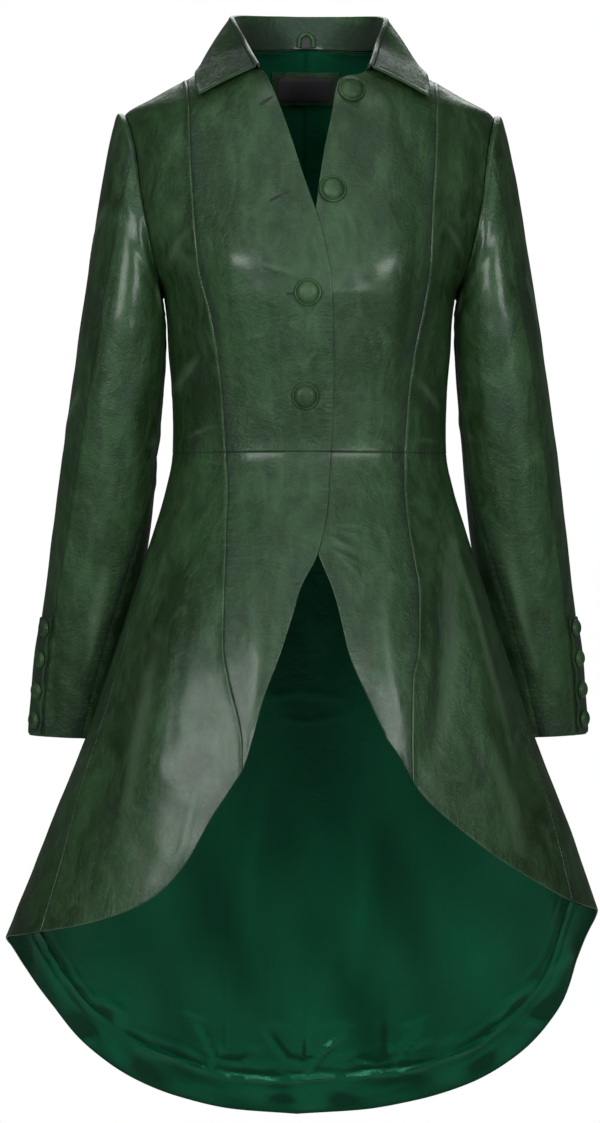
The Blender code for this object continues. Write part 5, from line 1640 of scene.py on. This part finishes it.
def lining_satin(name):
    """Emerald satin: smooth, with a deep sheen and the faint lines of its weave."""
    made, tree, shader = fresh(name)
    deep, bright, painted_trough_shade, ridge = (colour + (1.0,) for colour in SATIN_GREENS + SATIN_PAINTED_FOLDS)
    clouds = cloudy(tree, 11, 3, 0.5, (1, 1, 0.5))
    colour = blended(tree, between(tree, clouds, 0.35, 0.65, 0.0, 1.0), deep, bright)
    shade = marked(tree, "shade")
    # Painted shade in the troughs of folds and painted highlight on their ridges, from the shade mark
    dark = between(tree, shade, -0.8, 0.0, 0.8, 0.0)
    colour = blended(tree, dark, colour, painted_trough_shade)
    colour = blended(tree, between(tree, shade, 0.0, 0.8, 0.0, 0.55), colour, ridge)
    join(tree, colour, shader.inputs["Base Color"])
    threads = cloudy(tree, 900, 2, 0.5, (1, 1, 0.08))
    join(tree, between(tree, threads, 0.3, 0.7, 0.26, 0.36), shader.inputs["Roughness"])
    shader.inputs["Specular IOR Level"].default_value = 0.4
    shader.inputs["Specular Tint"].default_value = (*SATIN_SHEEN, 1.0)
    shader.inputs["Anisotropic"].default_value = 0.35
    soft = cloudy(tree, 30, 5, 0.62, (1, 1, 1.6), 1.4)
    normal = raised(tree, soft, 0.4, 0.0016)
    normal = raised(tree, threads, 0.12, 0.0001, normal)
    join(tree, normal, shader.inputs["Normal"])
    return made


def plain_cloth(name, colour, roughness, scale):
    """A close weave in one dull colour, for the bare label, the tab and the thread."""
    made, tree, shader = fresh(name)
    threads = cloudy(tree, scale, 2, 0.5, (1, 1, 0.3))
    lifted = tuple(value * 1.8 + 0.002 for value in colour) + (1.0,)
    colour = blended(tree, between(tree, threads, 0.35, 0.7, 0.0, 0.6), colour + (1.0,), lifted)
    join(tree, colour, shader.inputs["Base Color"])
    shader.inputs["Roughness"].default_value = roughness
    join(tree, raised(tree, threads, 0.5, 0.0002), shader.inputs["Normal"])
    return made


def floor_finish():
    made, tree, shader = fresh("floor")
    grain = cloudy(tree, 3, 2, 0.5)
    colour = blended(tree, grain, FLOOR_COLOURS[0], FLOOR_COLOURS[1])
    join(tree, colour, shader.inputs["Base Color"])
    shader.inputs["Roughness"].default_value = 0.9
    shader.inputs["Emission Color"].default_value = FLOOR_COLOURS[0]
    shader.inputs["Emission Strength"].default_value = FLOOR_GLOW
    return made


MATERIALS = {
    "leather": dyed_leather("green_leather", 1.0),
    "button": dyed_leather("button_leather", 1.2, 0.8, 0.9, 0.03),
    "satin": lining_satin("lining_satin"),
    "label": plain_cloth("bare_label", (0.008, 0.0065, 0.009), 0.6, 1500),
    "thread": plain_cloth("green_thread", (0.012, 0.02, 0.012), 0.6, 2500),
    # The buttonhole's dark sheet is painted shade inside the slit
    "cut": plain_cloth("buttonhole_slit_shade", (0.002, 0.003, 0.002), 0.8, 1500),
}
# The outer and the inner finish of a lined piece
LINED = MATERIALS["leather"], MATERIALS["satin"]


def soft_light(name, place, aim, size, watts, spread):
    data = bpy.data.lights.new(name, "AREA")
    data.shape = "RECTANGLE"
    data.size, data.size_y = size
    data.energy = watts
    data.spread = math.radians(spread)
    lamp = bpy.data.objects.new(name, data)
    lamp.location = place
    lamp.rotation_euler = (Vector(aim) - Vector(place)).to_track_quat("-Z", "Y").to_euler()
    bpy.context.scene.collection.objects.link(lamp)


def studio():
    """A pale floor far below the coat, soft lamps, and the camera of the photograph."""
    scene = bpy.context.scene
    scene.view_settings.view_transform = "Standard"
    bm = bmesh.new()
    bmesh.ops.create_circle(bm, cap_ends=True, segments=96, radius=FLOOR_RADIUS)
    bmesh.ops.translate(bm, verts=bm.verts, vec=(0, 0, FLOOR_Z))
    mesh = bpy.data.meshes.new("floor")
    bm.to_mesh(mesh)
    bm.free()
    mesh.materials.append(floor_finish())
    floor = bpy.data.objects.new("floor", mesh)
    scene.collection.objects.link(floor)
    world = bpy.data.worlds.new("studio")
    world.use_nodes = True
    tree = world.node_tree
    tree.nodes["Background"].inputs["Color"].default_value = (1.0, 1.0, 1.0, 1.0)
    seen = knot(tree, "ShaderNodeLightPath").outputs["Is Camera Ray"]
    strength = between(tree, seen, 0.0, 1.0, ROOM_LIGHT, BACKDROP_LIGHT)
    join(tree, strength, tree.nodes["Background"].inputs["Strength"])
    scene.world = world
    for lamp in LAMPS:
        soft_light(*lamp)
    data = bpy.data.cameras.new("camera")
    data.sensor_fit = "VERTICAL"
    data.sensor_height = 36.0
    data.lens = LENS
    data.clip_end = 200.0
    camera = bpy.data.objects.new("camera", data)
    turn = math.radians(CAMERA_TURN)
    away = Vector((math.sin(turn), -math.cos(turn), 0))
    camera.location = Vector(CAMERA_AIM) + CAMERA_DISTANCE * away
    camera.rotation_euler = (math.radians(90), 0, turn)
    scene.collection.objects.link(camera)
    scene.camera = camera


def main():
    grids = {side: bodice(side) for side in SIDES}
    back_lining(grids)
    tail_lining({side: skirt(side) for side in SIDES})
    for side in SIDES:
        sleeve(side)
    build_collar()
    depth = LEATHER + SATIN + 2 * LAYER_GAP + PATCH_LIFT
    neck_patch("label_patch", PATCH_SIZE, depth, PATCH_WALL, MATERIALS["leather"], "leather", "patch")
    depth += PATCH_WALL + LAYER_GAP
    neck_patch("label", LABEL_SIZE, depth, LABEL_WALL, MATERIALS["label"], "label", "label")
    hanger_loop()
    for number, (side, z, out) in enumerate(FRONT_BUTTONS, 1):
        point, normal = form_spot(out, z, side)
        place = point + normal * BUTTON_LIFT
        covered_button(f"button_front_{number}", place, normal, BUTTON_RADIUS, BUTTON_HEIGHT)
    for number, (start, end) in enumerate(BUTTONHOLES, 1):
        buttonhole(f"buttonhole_{number}", "right", start, end)
    studio()


main()
